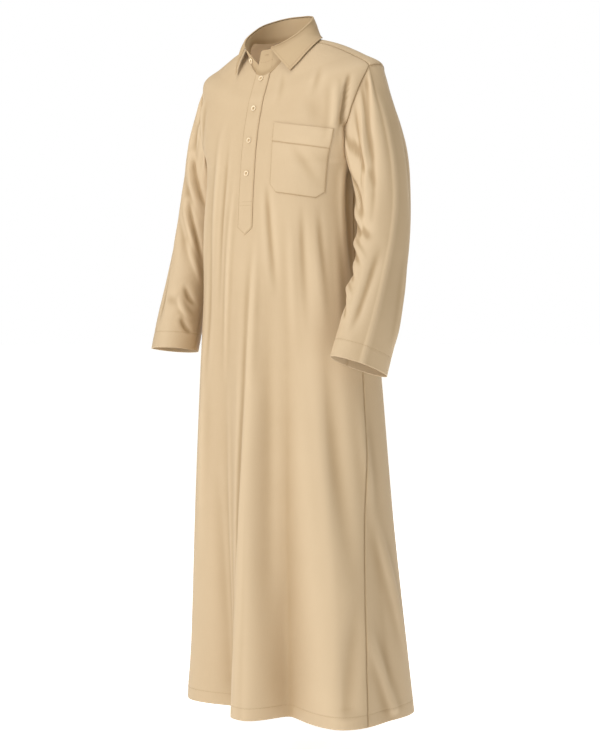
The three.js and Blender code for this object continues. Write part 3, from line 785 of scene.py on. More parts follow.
# ==== Making ====
# ---- Shaders ----
class Value:
    """A number that varies over a surface. Python's operators on it add Math nodes."""

    def __init__(self, nodes: "Nodes", socket: bpy.types.NodeSocket) -> None:
        """Wraps an output socket of one of the nodes."""
        self.nodes, self.socket = nodes, socket

    def _math(self, operation: str, *values: Any) -> "Value":
        """Returns a Math node's result for some values or numbers."""
        node = self.nodes.node("ShaderNodeMath", {"operation": operation}, dict(enumerate(values)))
        return Value(self.nodes, node.outputs[0])

    def __add__(self, other: Any) -> "Value":
        """Returns the sum."""
        return self._math("ADD", self, other)

    def __sub__(self, other: Any) -> "Value":
        """Returns the difference."""
        return self._math("SUBTRACT", self, other)

    def __rsub__(self, other: Any) -> "Value":
        """Returns the difference from a number."""
        return self._math("SUBTRACT", other, self)

    def __mul__(self, other: Any) -> "Value":
        """Returns the product."""
        return self._math("MULTIPLY", self, other)

    __radd__ = __add__
    __rmul__ = __mul__

    def sine(self) -> "Value":
        """Returns the sine."""
        return self._math("SINE", self)

    def between(self, low: float, high: float) -> "Value":
        """Makes a soft step.

        Args:
            low: where the step is 0.
            high: where it is 1.

        Returns:
            The step.
        """
        settings = {"interpolation_type": "SMOOTHSTEP", "clamp": True}
        inputs = {"Value": self, "From Min": low, "From Max": high}
        return Value(self.nodes, self.nodes.node("ShaderNodeMapRange", settings, inputs).outputs[0])


class Nodes:
    """A tree of shader nodes."""

    def __init__(self, tree: bpy.types.NodeTree) -> None:
        """Empties the tree."""
        self.tree = tree
        self.tree.nodes.clear()

    def node(self, kind: str, settings: dict[str, Any], inputs: dict[Any, Any]) -> bpy.types.Node:
        """Adds a node.

        Args:
            kind: the node's type.
            settings: its properties, which are set first.
            inputs: numbers, colours, values or sockets for its input sockets.

        Returns:
            The node.
        """
        node = self.tree.nodes.new(kind)
        for name, setting in settings.items():
            setattr(node, name, setting)
        for name, given in inputs.items():
            socket = given.socket if isinstance(given, Value) else given
            if isinstance(socket, bpy.types.NodeSocket):
                self.tree.links.new(socket, node.inputs[name])
            else:
                node.inputs[name].default_value = socket
        return node

    def mixed(self, low: Any, high: Any, share: Any) -> bpy.types.NodeSocket:
        """Returns a colour between two, each a colour or a socket."""
        return self.node("ShaderNodeMix", {"data_type": "RGBA"}, {0: share, 6: low, 7: high}).outputs[2]


class Shader(Nodes):
    """A material's node tree, with its Principled shader."""

    def __init__(self, name: str, constants: dict[str, Any]) -> None:
        """Makes the material.

        Args:
            name: the material's name.
            constants: values of the Principled shader's sockets that are the same all over.
        """
        self.material = bpy.data.materials.new(name)
        self.material.use_nodes = True
        super().__init__(self.material.node_tree)
        self.surface = self.node("ShaderNodeBsdfPrincipled", {}, constants)
        self.node("ShaderNodeOutputMaterial", {}, {"Surface": self.surface.outputs[0]})

    def place(self, kind: str = "UV", scale: Sequence[float] = (1, 1, 1)) -> bpy.types.NodeSocket:
        """Makes texture coordinates.

        Args:
            kind: UV for the cloth's own, in metres, or Object for the object's.
            scale: how much they grow along each axis.

        Returns:
            The coordinates' socket.
        """
        coordinates = self.node("ShaderNodeTexCoord", {}, {})
        mapping = self.node("ShaderNodeMapping", {}, {"Vector": coordinates.outputs[kind], "Scale": scale})
        return mapping.outputs[0]

    def axes(self, vector: bpy.types.NodeSocket) -> list[Value]:
        """Returns a vector's three numbers."""
        node = self.node("ShaderNodeSeparateXYZ", {}, {0: vector})
        return [Value(self, output) for output in node.outputs]

    def noise(self, vector: bpy.types.NodeSocket, scale: float, detail: float = 2.0) -> Value:
        """Returns a soft noise of about 0 to 1."""
        node = self.node("ShaderNodeTexNoise", {}, {"Vector": vector, "Scale": scale, "Detail": detail})
        return Value(self, node.outputs[0])

    def attribute(self, name: str) -> Value:
        """Returns a number that the mesh holds at its points."""
        return Value(self, self.node("ShaderNodeAttribute", {"attribute_name": name}, {}).outputs["Fac"])

    def drive(self, name: str, given: Value | bpy.types.NodeSocket) -> None:
        """Lets a value or a socket drive one of the surface's sockets."""
        self.tree.links.new(given.socket if isinstance(given, Value) else given, self.surface.inputs[name])

    def bumps(self, *heights: tuple[Value, float]) -> None:
        """Chains bumps into the normal.

        Args:
            heights: pairs of a height and how many metres a height of 1 is.
        """
        normal = None
        for height, distance in heights:
            inputs = {"Height": height, "Distance": distance, "Strength": 1.0}
            if normal is not None:
                inputs["Normal"] = normal
            normal = self.node("ShaderNodeBump", {}, inputs).outputs[0]
        self.drive("Normal", normal)


@dataclass(frozen=True)
class ClothFinish:
    """A fine pressed twill: its diagonal ribs, slubs and soft unevenness, with painted shade along its seams
    and in its folds, and painted highlight on its ridges.
    """

    name: str
    colour: Colour
    dark: Colour
    roughness: float = 0.62
    sheen: float = 0.05
    rib_pitch: float = 0.0009
    rib_height: float = 0.000035
    crinkle: float = 0.0006
    slub_scale: float = 900.0
    slub_stretch: tuple[float, float, float] = (1.0, 0.04, 1.0)
    soft_scale: float = 9.0
    crinkle_scale: float = 38.0
    # the folds' tone is painted shade in their hollows and painted highlight on their ridges
    tones: tuple[float, float, float, float] = (0.16, 0.10, 0.42, 0.12)  # soft, slubs, folds, middle
    tone_range: tuple[float, float] = (-0.25, 0.85)

    def material(self) -> bpy.types.Material:
        """Makes the finish.

        Returns:
            The material.
        """
        shader = Shader(self.name, {
            "Metallic": 0.0, "Sheen Weight": self.sheen, "Sheen Roughness": 0.45,
            "Sheen Tint": (1.0, 0.93, 0.82, 1.0), "Specular IOR Level": 0.32,
        })
        cloth = shader.place()
        x, y, _ = shader.axes(cloth)
        ribs = ((x + y) * (math.tau / self.rib_pitch)).sine() * 0.5 + 0.5
        slubs = shader.noise(shader.place(scale=self.slub_stretch), self.slub_scale, 1.0)
        soft = shader.noise(cloth, self.soft_scale, 3.0)
        crinkled = shader.noise(cloth, self.crinkle_scale, 3.0)
        by_soft, by_slubs, by_fold_shade, middle = self.tones
        tone = (soft - 0.5) * by_soft + (slubs - 0.5) * by_slubs
        # painted shade in the folds' hollows, and painted highlight on their ridges
        tone = tone + shader.attribute("fold_shade") * by_fold_shade + middle
        base = shader.mixed(self.colour, self.dark, tone.between(*self.tone_range))
        # painted shade along seams and sewn lines, and painted shadow along the edges of pieces
        seams = shader.attribute("seam_shade").between(0.0, 1.0)
        shader.drive("Base Color", shader.mixed(base, self.dark, seams))
        shader.drive("Roughness", (soft - 0.5) * 0.12 + (1 - ribs) * 0.05 + self.roughness)
        shader.bumps((crinkled, self.crinkle), (ribs * 0.8 + slubs * 0.4, self.rib_height))
        return shader.material


@dataclass(frozen=True)
class ThreadFinish:
    """A sewing thread: two plies twisted along each stitch."""

    name: str
    colour: Colour
    dark: Colour
    ply_pitch: float = 0.0007
    ply_height: float = 0.00006

    def material(self) -> bpy.types.Material:
        """Makes the finish.

        Returns:
            The material.
        """
        shader = Shader(self.name, {"Metallic": 0.0, "Specular IOR Level": 0.3, "Sheen Weight": 0.1})
        x, y, z = shader.axes(shader.place("Object"))
        plies = ((x + y + z) * (math.tau / self.ply_pitch)).sine() * 0.5 + 0.5
        shader.drive("Base Color", shader.mixed(self.dark, self.colour, plies.between(0.0, 0.7)))
        shader.drive("Roughness", plies * 0.1 + 0.6)
        shader.bumps((plies, self.ply_height))
        return shader.material


@dataclass(frozen=True)
class ResinFinish:
    """A polished ivory resin with faint clouds in it, and painted shade in its sunken middle."""

    name: str
    colour: Colour
    cloud: Colour
    painted_dish_shade: Colour
    cloud_scale: float = 220.0
    scuff_scale: float = 2600.0
    scuff_height: float = 0.00002

    def material(self) -> bpy.types.Material:
        """Makes the finish.

        Returns:
            The material.
        """
        shader = Shader(self.name, {
            "Metallic": 0.0, "IOR": 1.5, "Coat Weight": 0.4, "Coat Roughness": 0.15,
            "Subsurface Weight": 0.1, "Subsurface Radius": (0.004, 0.003, 0.002),
        })
        place = shader.place("Object")
        clouds = shader.noise(place, self.cloud_scale, 3.0).between(0.35, 0.75)
        scuffs = shader.noise(place, self.scuff_scale)
        base = shader.mixed(self.colour, self.cloud, clouds)
        # painted shade over the sunken middle
        shader.drive("Base Color", shader.mixed(base, self.painted_dish_shade, shader.attribute("dish_shade")))
        shader.drive("Roughness", scuffs * 0.12 + 0.26)
        shader.bumps((scuffs, self.scuff_height))
        return shader.material


@dataclass(frozen=True)
class FloorFinish:
    """A plain, nearly white studio floor with a trace of unevenness."""

    name: str = "studio_floor"
    colour: Colour = (0.93, 0.93, 0.925, 1.0)
    shade: Colour = (0.90, 0.90, 0.895, 1.0)
    glow: float = 0.85
    patch_scale: float = 1.3

    def material(self) -> bpy.types.Material:
        """Makes the finish.

        Returns:
            The material.
        """
        shader = Shader(self.name, {
            "Roughness": 0.9, "Specular IOR Level": 0.1,
            "Emission Color": WHITE, "Emission Strength": self.glow,
        })
        patches = shader.noise(shader.place("Object"), self.patch_scale)
        shader.drive("Base Color", shader.mixed(self.colour, self.shade, patches))
        return shader.material


# ---- Cloth pieces ----
class Edge(Enum):
    """An edge of a cloth piece, as its grid lies with its outside towards the maker."""

    LEFT = "left"
    RIGHT = "right"
    BOTTOM = "bottom"
    TOP = "top"


@dataclass(frozen=True)
class Line:
    """A seam, a sewn line or a painted shadow that follows an edge of a piece; its shade is painted shade.
    Sizes are in millimetres.
    """

    edge: Edge
    inset: float = 0.0
    depth: float = 0.4
    width: float = 1.5
    shade: float = 0.3
    pucker: float = 0.0
    pitch: float = 9.0


def spaced(*stretches: tuple[float, float, int]) -> Array:
    """Returns rising or falling numbers: each stretch has a start, an end and a count of steps."""
    parts = [np.linspace(start, end, count + 1)[:-1] for start, end, count in stretches]
    return np.concatenate([*parts, [stretches[-1][1]]])


def grid_normals(points: Array, closed: bool) -> Array:
    """Returns the outward normals of a grid of points.

    Args:
        points: rows and columns of points, the rows rising and the columns to the right.
        closed: whether the last column meets the first.

    Returns:
        A normal for each point.
    """
    along = np.gradient(points, axis=1)
    if closed:
        seam = points[:, 1] - points[:, -2]
        along[:, 0] = along[:, -1] = seam / 2
    return unit(np.cross(along, np.gradient(points, axis=0)))


class Panel:
    """One sewn piece of cloth, as a grid of rows and columns laid on its form."""

    pucker_spread = 3.2, 2.0  # a pucker's reach: times its line's width, and millimetres more
    pucker_start = 1.7

    def __init__(
        self,
        name: str,
        surface: Surface,
        across: Array,
        up: Array,
        lines: Sequence[Line] = (),
        closed: bool = False,
    ) -> None:
        """Lays the grid and presses its lines in.

        Args:
            name: the piece's name.
            surface: gives points in millimetres for parameters across and up.
            across: the columns' parameters, from left to right seen from outside.
            up: the rows' parameters, from the lowest row.
            lines: seams and sewn lines.
            closed: whether the last column meets the first, as round a sleeve.
        """
        self.name, self.closed = name, closed
        self.parameters = across, up
        columns, rows = np.meshgrid(across, up)
        self.points = surface(columns, rows)
        self.normals = grid_normals(self.points, closed)
        self._measure()
        relief = np.zeros(columns.shape)
        self.shade = np.zeros(columns.shape)
        times, more = self.pucker_spread
        for number, line in enumerate(lines):
            along = self.up if line.edge in (Edge.LEFT, Edge.RIGHT) else self.across
            away = self.edge_distance(line.edge) - line.inset
            near = np.exp(-((away / line.width) ** 2))
            wide = np.exp(-((away / (times * line.width + more)) ** 2))
            relief -= line.depth * near
            puckers = waver(along / line.pitch, number + self.pucker_start)
            relief += line.pucker * wide * (1 - near) * puckers
            self.shade = np.maximum(self.shade, line.shade * near)
        self.hollows = self._hollows()
        self.points = self.points + self.normals * relief[..., None]
        self.normals = grid_normals(self.points, closed)
        self._measure()

    def _hollows(self) -> Array:
        """Measures the folds, by how far the cloth bends within a short reach.

        Returns:
            How far each point lies in a fold: 1 in a deep one, and below 0 on a ridge.
        """
        bend = np.zeros(self.points.shape[:2])
        for axis in (0, 1):
            spacing = np.median(np.linalg.norm(np.diff(self.points, axis=axis), axis=-1))
            reach = max(1, round(HOLLOW_REACH / spacing))
            wraps = self.closed and axis == 1
            ends = [(reach, reach) if side == axis else (0, 0) for side in range(3)]
            padded = np.moveaxis(np.pad(self.points, ends, mode="wrap" if wraps else "edge"), axis, 0)
            middle = np.moveaxis((padded[2 * reach:] + padded[:-2 * reach]) / 2, 0, axis) - self.points
            bend = bend + (middle * self.normals).sum(-1) / HOLLOW_DEPTH
        return np.clip(bend, -1, 1)

    def _measure(self) -> None:
        """Measures the cloth along its rows from the middle, and up its columns."""
        steps = np.linalg.norm(np.diff(self.points, axis=1), axis=-1)
        self.across = np.pad(np.cumsum(steps, axis=1), ((0, 0), (1, 0)))
        self.across = self.across - self.across[:, [self.across.shape[1] // 2]]
        steps = np.linalg.norm(np.diff(self.points, axis=0), axis=-1)
        self.up = np.pad(np.cumsum(steps, axis=0), ((1, 0), (0, 0)))

    def edge_distance(self, edge: Edge) -> Array:
        """Measures from an edge, along the cloth.

        Args:
            edge: which edge.

        Returns:
            How far each point is from it, in millimetres.
        """
        return {
            Edge.LEFT: self.across - self.across[:, :1],
            Edge.RIGHT: self.across[:, -1:] - self.across,
            Edge.BOTTOM: self.up,
            Edge.TOP: self.up[-1:] - self.up,
        }[edge]

    def path(self, edge: Edge, inset: float, trims: tuple[float, float] = (0.0, 0.0)) -> Cells:
        """Follows an edge on the cloth.

        Args:
            edge: which edge.
            inset: how far in from it, in millimetres.
            trims: how much is left off the path's start and end.

        Returns:
            The path's points and normals.
        """
        distance = self.edge_distance(edge)
        upright = edge in (Edge.LEFT, Edge.RIGHT)
        lines = zip(distance, self.points, self.normals) if upright else zip(
            distance.T, self.points.transpose(1, 0, 2), self.normals.transpose(1, 0, 2))
        places, normals = [], []
        for away, points, facing in lines:
            order = np.argsort(away)
            places.append([np.interp(inset, away[order], points[order, axis]) for axis in range(3)])
            normals.append([np.interp(inset, away[order], facing[order, axis]) for axis in range(3)])
        places, normals = np.array(places), unit(np.array(normals))
        run = np.pad(np.cumsum(np.linalg.norm(np.diff(places, axis=0), axis=1)), (1, 0))
        kept = (run >= trims[0]) & (run <= run[-1] - trims[1])
        return places[kept], normals[kept]

    def make(self, wall: float, material: bpy.types.Material, gone: Array | None = None) -> bpy.types.Object:
        """Makes the piece's object, with its wall.

        Args:
            wall: the cloth's thickness, in millimetres.
            material: its finish.
            gone: true for each square of the grid that is cut out.

        Returns:
            The object.
        """
        rows, columns = self.points.shape[:2]
        bm = bmesh.new()
        uv = bm.loops.layers.uv.new("cloth")
        # seam_shade holds painted shade; fold_shade holds painted shade in hollows and painted highlight on
        # ridges
        shade = bm.verts.layers.float.new("seam_shade")
        hollow = bm.verts.layers.float.new("fold_shade")
        bmesh.ops.create_grid(bm, x_segments=columns - 1, y_segments=rows - 1, size=0.5)
        at = {
            vert: (round((vert.co.y + 0.5) * (rows - 1)), round((vert.co.x + 0.5) * (columns - 1)))
            for vert in bm.verts
        }
        if gone is not None:
            corners = {face: np.min([at[v] for v in face.verts], axis=0) for face in bm.faces}
            bmesh.ops.delete(bm, geom=[f for f, c in corners.items() if gone[tuple(c)]], context="FACES")
        for face in bm.faces:
            for loop in face.loops:
                place = at[loop.vert]
                loop[uv].uv = (self.across[place] * MM, self.up[place] * MM)
        for vert in bm.verts:
            vert.co = Vector(self.points[at[vert]]) * MM
            vert[shade] = self.shade[at[vert]]
            vert[hollow] = self.hollows[at[vert]]
        if self.closed:
            ends = [v for v in bm.verts if at[v][1] in (0, columns - 1)]
            bmesh.ops.remove_doubles(bm, verts=ends, dist=MERGED)
        piece = object_from(f"cloth_{self.name}", bm, material)
        solidify = piece.modifiers.new("wall", "SOLIDIFY")
        solidify.thickness, solidify.offset = wall * MM, -1.0
        solidify.use_even_offset = False
        return piece


def object_from(name: str, bm: bmesh.types.BMesh, material: bpy.types.Material) -> bpy.types.Object:
    """Makes an object of a bmesh, smooth shaded, and links it.

    Args:
        name: the object's name, and its mesh's.
        bm: the shape, in metres, which is freed.
        material: its finish.

    Returns:
        The object.
    """
    mesh = bpy.data.meshes.new(name)
    bm.to_mesh(mesh)
    bm.free()
    mesh.shade_smooth()
    mesh.materials.append(material)
    piece = bpy.data.objects.new(name, mesh)
    bpy.context.scene.collection.objects.link(piece)
    return piece


def rounded(piece: bpy.types.Object, width: float) -> None:
    """Rounds a piece's sharp edges with a Bevel modifier.

    Args:
        piece: the piece.
        width: the rounding's width, in millimetres.
    """
    bevel = piece.modifiers.new("rounded", "BEVEL")
    bevel.width, bevel.segments, bevel.limit_method = width * MM, 2, "ANGLE"
    bevel.angle_limit = math.radians(SHARP_ANGLE)


@dataclass(frozen=True)
class Stitch:
    """One kind of stitch. Sizes are in millimetres."""

    pitch: float = 3.0
    width: float = 0.55
    height: float = 0.45
    sides: int = 6
    steps: int = 4
    thin: float = 0.35  # the thread's share of its size where it dips into the cloth
    sunk: float = 0.75  # how far its middle starts below the cloth, as a share of its height


class Stitching:
    """Rows of stitches, gathered into one piece."""

    def __init__(self, name: str, stitch: Stitch = Stitch()) -> None:
        """Starts a piece with no rows."""
        self.name, self.stitch, self.bm = name, stitch, bmesh.new()

    def row(self, path: Cells) -> "Stitching":
        """Sews a row along a path: a thread that rises for each stitch and dips between them.

        Args:
            path: the points in millimetres, and the cloth's normals there.

        Returns:
            This piece, so that rows can follow each other.
        """
        points, normals = path
        stitch = self.stitch
        run = np.pad(np.cumsum(np.linalg.norm(np.diff(points, axis=0), axis=1)), (1, 0))
        rings = max(round(run[-1] / stitch.pitch), 1) * stitch.steps
        places = np.linspace(0, run[-1], rings + 1)
        middle = np.stack([np.interp(places, run, points[:, axis]) for axis in range(3)], axis=-1)
        normal = unit(np.stack([np.interp(places, run, normals[:, axis]) for axis in range(3)], axis=-1))
        side = unit(np.cross(normal, np.gradient(middle, axis=0)))
        risen = np.sin(np.pi * (np.arange(rings + 1) % stitch.steps) / stitch.steps)[:, None]
        grid = bmesh.ops.create_grid(self.bm, x_segments=stitch.sides, y_segments=rings, size=0.5)["verts"]
        for vert in grid:
            turn, ring = math.tau * (vert.co.x + 0.5), round((vert.co.y + 0.5) * rings)
            full = stitch.thin + (1 - stitch.thin) * risen[ring]
            place = middle[ring] + normal[ring] * (stitch.height * (risen[ring] - stitch.sunk))
            place = place + side[ring] * (math.cos(turn) * full * stitch.width / 2)
            vert.co = Vector(place + normal[ring] * (math.sin(turn) * full * stitch.height / 2)) * MM
        bmesh.ops.remove_doubles(self.bm, verts=grid, dist=MERGED)
        return self

    def make(self, material: bpy.types.Material) -> bpy.types.Object:
        """Returns the rows as one object."""
        return object_from(self.name, self.bm, material)


# ---- Sub-assemblies ----
def srgb(red: int, green: int, blue: int) -> Colour:
    """Returns a colour of 0 to 255 as linear numbers."""
    parts = [part / 255 for part in (red, green, blue)]
    return (*[p / 12.92 if p <= 0.04045 else ((p + 0.055) / 1.055) ** 2.4 for p in parts], 1.0)


@dataclass(frozen=True)
class Materials:
    """The robe's materials, each made once."""

    cloth: bpy.types.Material
    collar: bpy.types.Material
    thread: bpy.types.Material
    button: bpy.types.Material


@dataclass(frozen=True)
class Cut:
    """A flat piece of cloth before it was sewn: its width, length and area, in metres."""

    width: float
    length: float
    area: float


class Slot(Enum):
    """Material slots, by name."""

    CLOTH = "cloth"
    COLLAR = "collar_cloth"
    BUTTON = "button"


class Held(Enum):
    """How a piece of cloth is held."""

    HUNG = "hung"
    FOLDED = "folded"
    LAID = "laid"


def placed(
    piece: bpy.types.Object,
    slot: Slot,
    nodes: Sequence[str] = (),
    cut: Cut | None = None,
    held: Held = Held.HUNG,
) -> bpy.types.Object:
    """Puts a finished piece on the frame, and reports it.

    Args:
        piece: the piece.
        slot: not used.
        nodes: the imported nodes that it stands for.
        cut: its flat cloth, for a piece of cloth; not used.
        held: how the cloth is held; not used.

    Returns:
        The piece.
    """
    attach(piece, "root")
    if nodes:
        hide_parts(*nodes)
    log.info("made %s", piece.name)
    return piece


@dataclass
class BodyPieces:
    """The front, the back and the yoke."""

    body: BodyForm
    seams: Seams
    wall: float = 1.0
    slot_edges: tuple[float, float] = (-19.0, 17.0)  # X of the front's cut
    slot_foot: float = -392.0
    slot_share: float = 0.06
    hem_height: float = 25.0
    hem_rows: float = -1375.0  # the level below which rows lie closer
    yoke_turns: tuple[float, float] = (0.08, 0.16)  # half round the yoke: its tip and its back corner
    neck_corner: float = 104.0  # the neck's angle above that corner
    yoke_inset: float = 3.0  # the yoke's stitches, in from its seams
    front_cut: Cut = Cut(0.68, 1.48, 0.77)
    back_cut: Cut = Cut(0.97, 1.34, 0.87)
    yoke_cut: Cut = Cut(0.50, 0.21, 0.068)
    side: Line = Line(Edge.LEFT, depth=1.4, width=2.2, shade=0.8, pucker=0.7, pitch=13)
    hem: Line = Line(Edge.BOTTOM, inset=25.0, depth=0.6, width=1.6, shade=0.3, pucker=0.5, pitch=10)

    def lines(self) -> tuple[Line, ...]:
        """Returns the seams down both sides and the hem's sewn line."""
        return self.side, replace(self.side, edge=Edge.RIGHT), self.hem

    def front_point(self, share: Array, level: Array) -> Array:
        """Lays points of the front between its seams.

        Args:
            share: from its right edge (-1) to its left one (1).
            level: the points' levels.

        Returns:
            The points.
        """
        reach = self.seams.front_edge(level)
        rows = level[:, :1]
        cut = [self.body.angle_at(np.full(rows.shape, x), rows) for x in self.slot_edges]
        beside = (np.abs(share) - self.slot_share) / (1 - self.slot_share)
        middle = mix(cut[0], cut[1], (share / self.slot_share + 1) / 2)
        side = np.where(share < 0, mix(cut[0], -reach, beside), mix(cut[1], reach, beside))
        return self.body.point(np.where(beside < 0, middle, side), level)

    def front(self) -> Panel:
        """Lays the front, whose columns follow its cut.

        Returns:
            The panel.
        """
        across = spaced((-1, -0.98, 4), (-0.98, -self.slot_share, 75), (-self.slot_share, self.slot_share, 7),
                        (self.slot_share, 0.98, 75), (0.98, 1, 4))
        up = spaced((HEM_LEVEL, self.hem_rows, 14), (self.hem_rows, self.slot_foot, 150),
                    (self.slot_foot, ARMPIT_LEVEL, 24), (ARMPIT_LEVEL, TIP_LEVEL, 44),
                    (TIP_LEVEL, NECK_LEVEL, 34))
        neck = Line(Edge.TOP, depth=0.9, width=1.8, shade=0.5)
        return Panel("front", self.front_point, across, up, (*self.lines(), neck))

    def back(self) -> Panel:
        """Lays the back, below the yoke.

        Returns:
            The panel.
        """

        def point(share: Array, level: Array) -> Array:
            """Returns the back's points, from its left edge (0) to its right one (1)."""
            start = self.seams.back_edge(level)
            return self.body.point(mix(start, 360 - start, share), level)

        across = spaced((0, 0.008, 4), (0.008, 0.992, 150), (0.992, 1, 4))
        up = spaced((HEM_LEVEL, self.hem_rows, 14), (self.hem_rows, ARMPIT_LEVEL, 190),
                    (ARMPIT_LEVEL, BACK_SEAM_LEVEL, 40))
        top = Line(Edge.TOP, depth=1.0, width=1.8, shade=0.5)
        return Panel("back", point, across, up, (*self.lines(), top))

    def yoke_point(self, turn: Array, rise: Array) -> Array:
        """Lays points of the yoke inside its seams.

        Args:
            turn: round it, from 0 at one front seam to 1 at the other.
            rise: from its outer edge (0) to the neck (1).

        Returns:
            The points.
        """
        half = np.minimum(turn, 1 - turn) * 2
        tip, corner = self.yoke_turns
        fall = np.interp(half, (0, tip, corner, 1), (TIP_LEVEL, TIP_LEVEL, BACK_SEAM_LEVEL, BACK_SEAM_LEVEL))
        round_tip = 90 + self.seams.armhole("back", fall)
        start = self.seams.yoke("angle", TIP_LEVEL)
        corner_angle = 90 + self.seams.armhole("back", BACK_SEAM_LEVEL)
        outer = np.where(
            half <= tip,
            np.interp(half, (0, tip), (start, 90 + self.seams.armhole("back", TIP_LEVEL))),
            np.where(half <= corner, round_tip, np.interp(half, (corner, 1), (corner_angle, 180))))
        neck_start = self.seams.yoke("angle", NECK_LEVEL)
        inner = np.interp(half, (0, tip, corner, 1), (neck_start, 90, self.neck_corner, 180))
        level = mix(fall, NECK_LEVEL, rise)
        seam = self.seams.yoke("angle", level) - mix(start, neck_start, rise)
        angle = mix(outer, inner, rise) + seam * np.clip(1 - half / tip, 0, 1)
        return self.body.point(np.where(turn <= 0.5, angle, 360 - angle), level)

    def yoke(self) -> Panel:
        """Lays the yoke, over both shoulders.

        Returns:
            The panel.
        """
        across = spaced((0, 0.006, 3), (0.006, 0.04, 5), (0.04, 0.08, 6), (0.08, 0.92, 90), (0.92, 0.96, 6),
                        (0.96, 0.994, 5), (0.994, 1, 3))
        up = spaced((0, 0.03, 4), (0.03, 0.97, 36), (0.97, 1, 4))
        seam = Line(Edge.LEFT, depth=0.9, width=1.8, shade=0.5)
        edges = [replace(seam, edge=edge) for edge in (Edge.LEFT, Edge.RIGHT, Edge.TOP, Edge.BOTTOM)]
        return Panel("yoke", self.yoke_point, across, up, edges)

    def build(self, materials: Materials) -> None:
        """Makes the three pieces and their stitches.

        Args:
            materials: the robe's materials.
        """
        front, back, yoke = self.front(), self.back(), self.yoke()
        middles = [(edges[1:] + edges[:-1]) / 2 for edges in front.parameters]
        gone = (np.abs(middles[0]) < self.slot_share) & (middles[1] > self.slot_foot)[:, None]
        placed(front.make(self.wall, materials.cloth, gone), Slot.CLOTH, ["front"], self.front_cut)
        placed(back.make(self.wall, materials.cloth), Slot.CLOTH, ["back"], self.back_cut)
        placed(yoke.make(self.wall, materials.cloth), Slot.CLOTH, ["yoke"], self.yoke_cut)
        hem = Stitching("stitches_hem")
        for panel in (front, back):
            hem.row(panel.path(Edge.BOTTOM, self.hem_height, (3, 3)))
        placed(hem.make(materials.thread), Slot.CLOTH)
        seams = Stitching("stitches_yoke")
        for edge, trim in ((Edge.LEFT, 4), (Edge.RIGHT, 4), (Edge.BOTTOM, 14)):
            seams.row(yoke.path(edge, self.yoke_inset, (trim, trim)))
        placed(seams.make(materials.thread), Slot.CLOTH)


@dataclass
class SleevePieces:
    """Both sleeves, with their hems and armhole stitches."""

    forms: Sequence[SleeveForm]
    wall: float = 1.0
    hem_height: float = 37.0
    armhole_inset: float = 4.0
    cut: Cut = Cut(0.50, 0.65, 0.193)

    def panel(self, form: SleeveForm) -> Panel:
        """Lays one sleeve, joined under the arm.

        Args:
            form: the sleeve's form.

        Returns:
            The panel.
        """

        def point(turn: Array, rise: Array) -> Array:
            """Returns the sleeve's points, for degrees round it and a rise from the cuff (0)."""
            return form.point(-form.side.value * turn, 1 - rise)

        across = spaced((180, 184, 3), (184, 536, 100), (536, 540, 3))
        up = spaced((0, 0.075, 18), (0.075, 0.985, 160), (0.985, 1, 6))
        under = Line(Edge.LEFT, depth=0.8, width=2.0, shade=0.45, pucker=0.5, pitch=11)
        lines = (
            under, replace(under, edge=Edge.RIGHT),
            Line(Edge.TOP, depth=0.2, width=2.4, shade=0.65, pucker=0.6, pitch=9),
            Line(Edge.BOTTOM, inset=self.hem_height, depth=0.6, width=1.6, shade=0.3, pucker=0.4),
        )
        return Panel(f"sleeve_{form.side.name.lower()}", point, across, up, lines, closed=True)

    def build(self, materials: Materials) -> None:
        """Makes the sleeves and their stitches.

        Args:
            materials: the robe's materials.
        """
        cuffs, armholes = Stitching("stitches_cuffs"), Stitching("stitches_armholes")
        for form in self.forms:
            panel = self.panel(form)
            placed(panel.make(self.wall, materials.cloth), Slot.CLOTH, [panel.name], self.cut)
            cuffs.row(panel.path(Edge.BOTTOM, self.hem_height))
            armholes.row(panel.path(Edge.TOP, self.armhole_inset))
        placed(cuffs.make(materials.thread), Slot.CLOTH)
        placed(armholes.make(materials.thread), Slot.CLOTH)


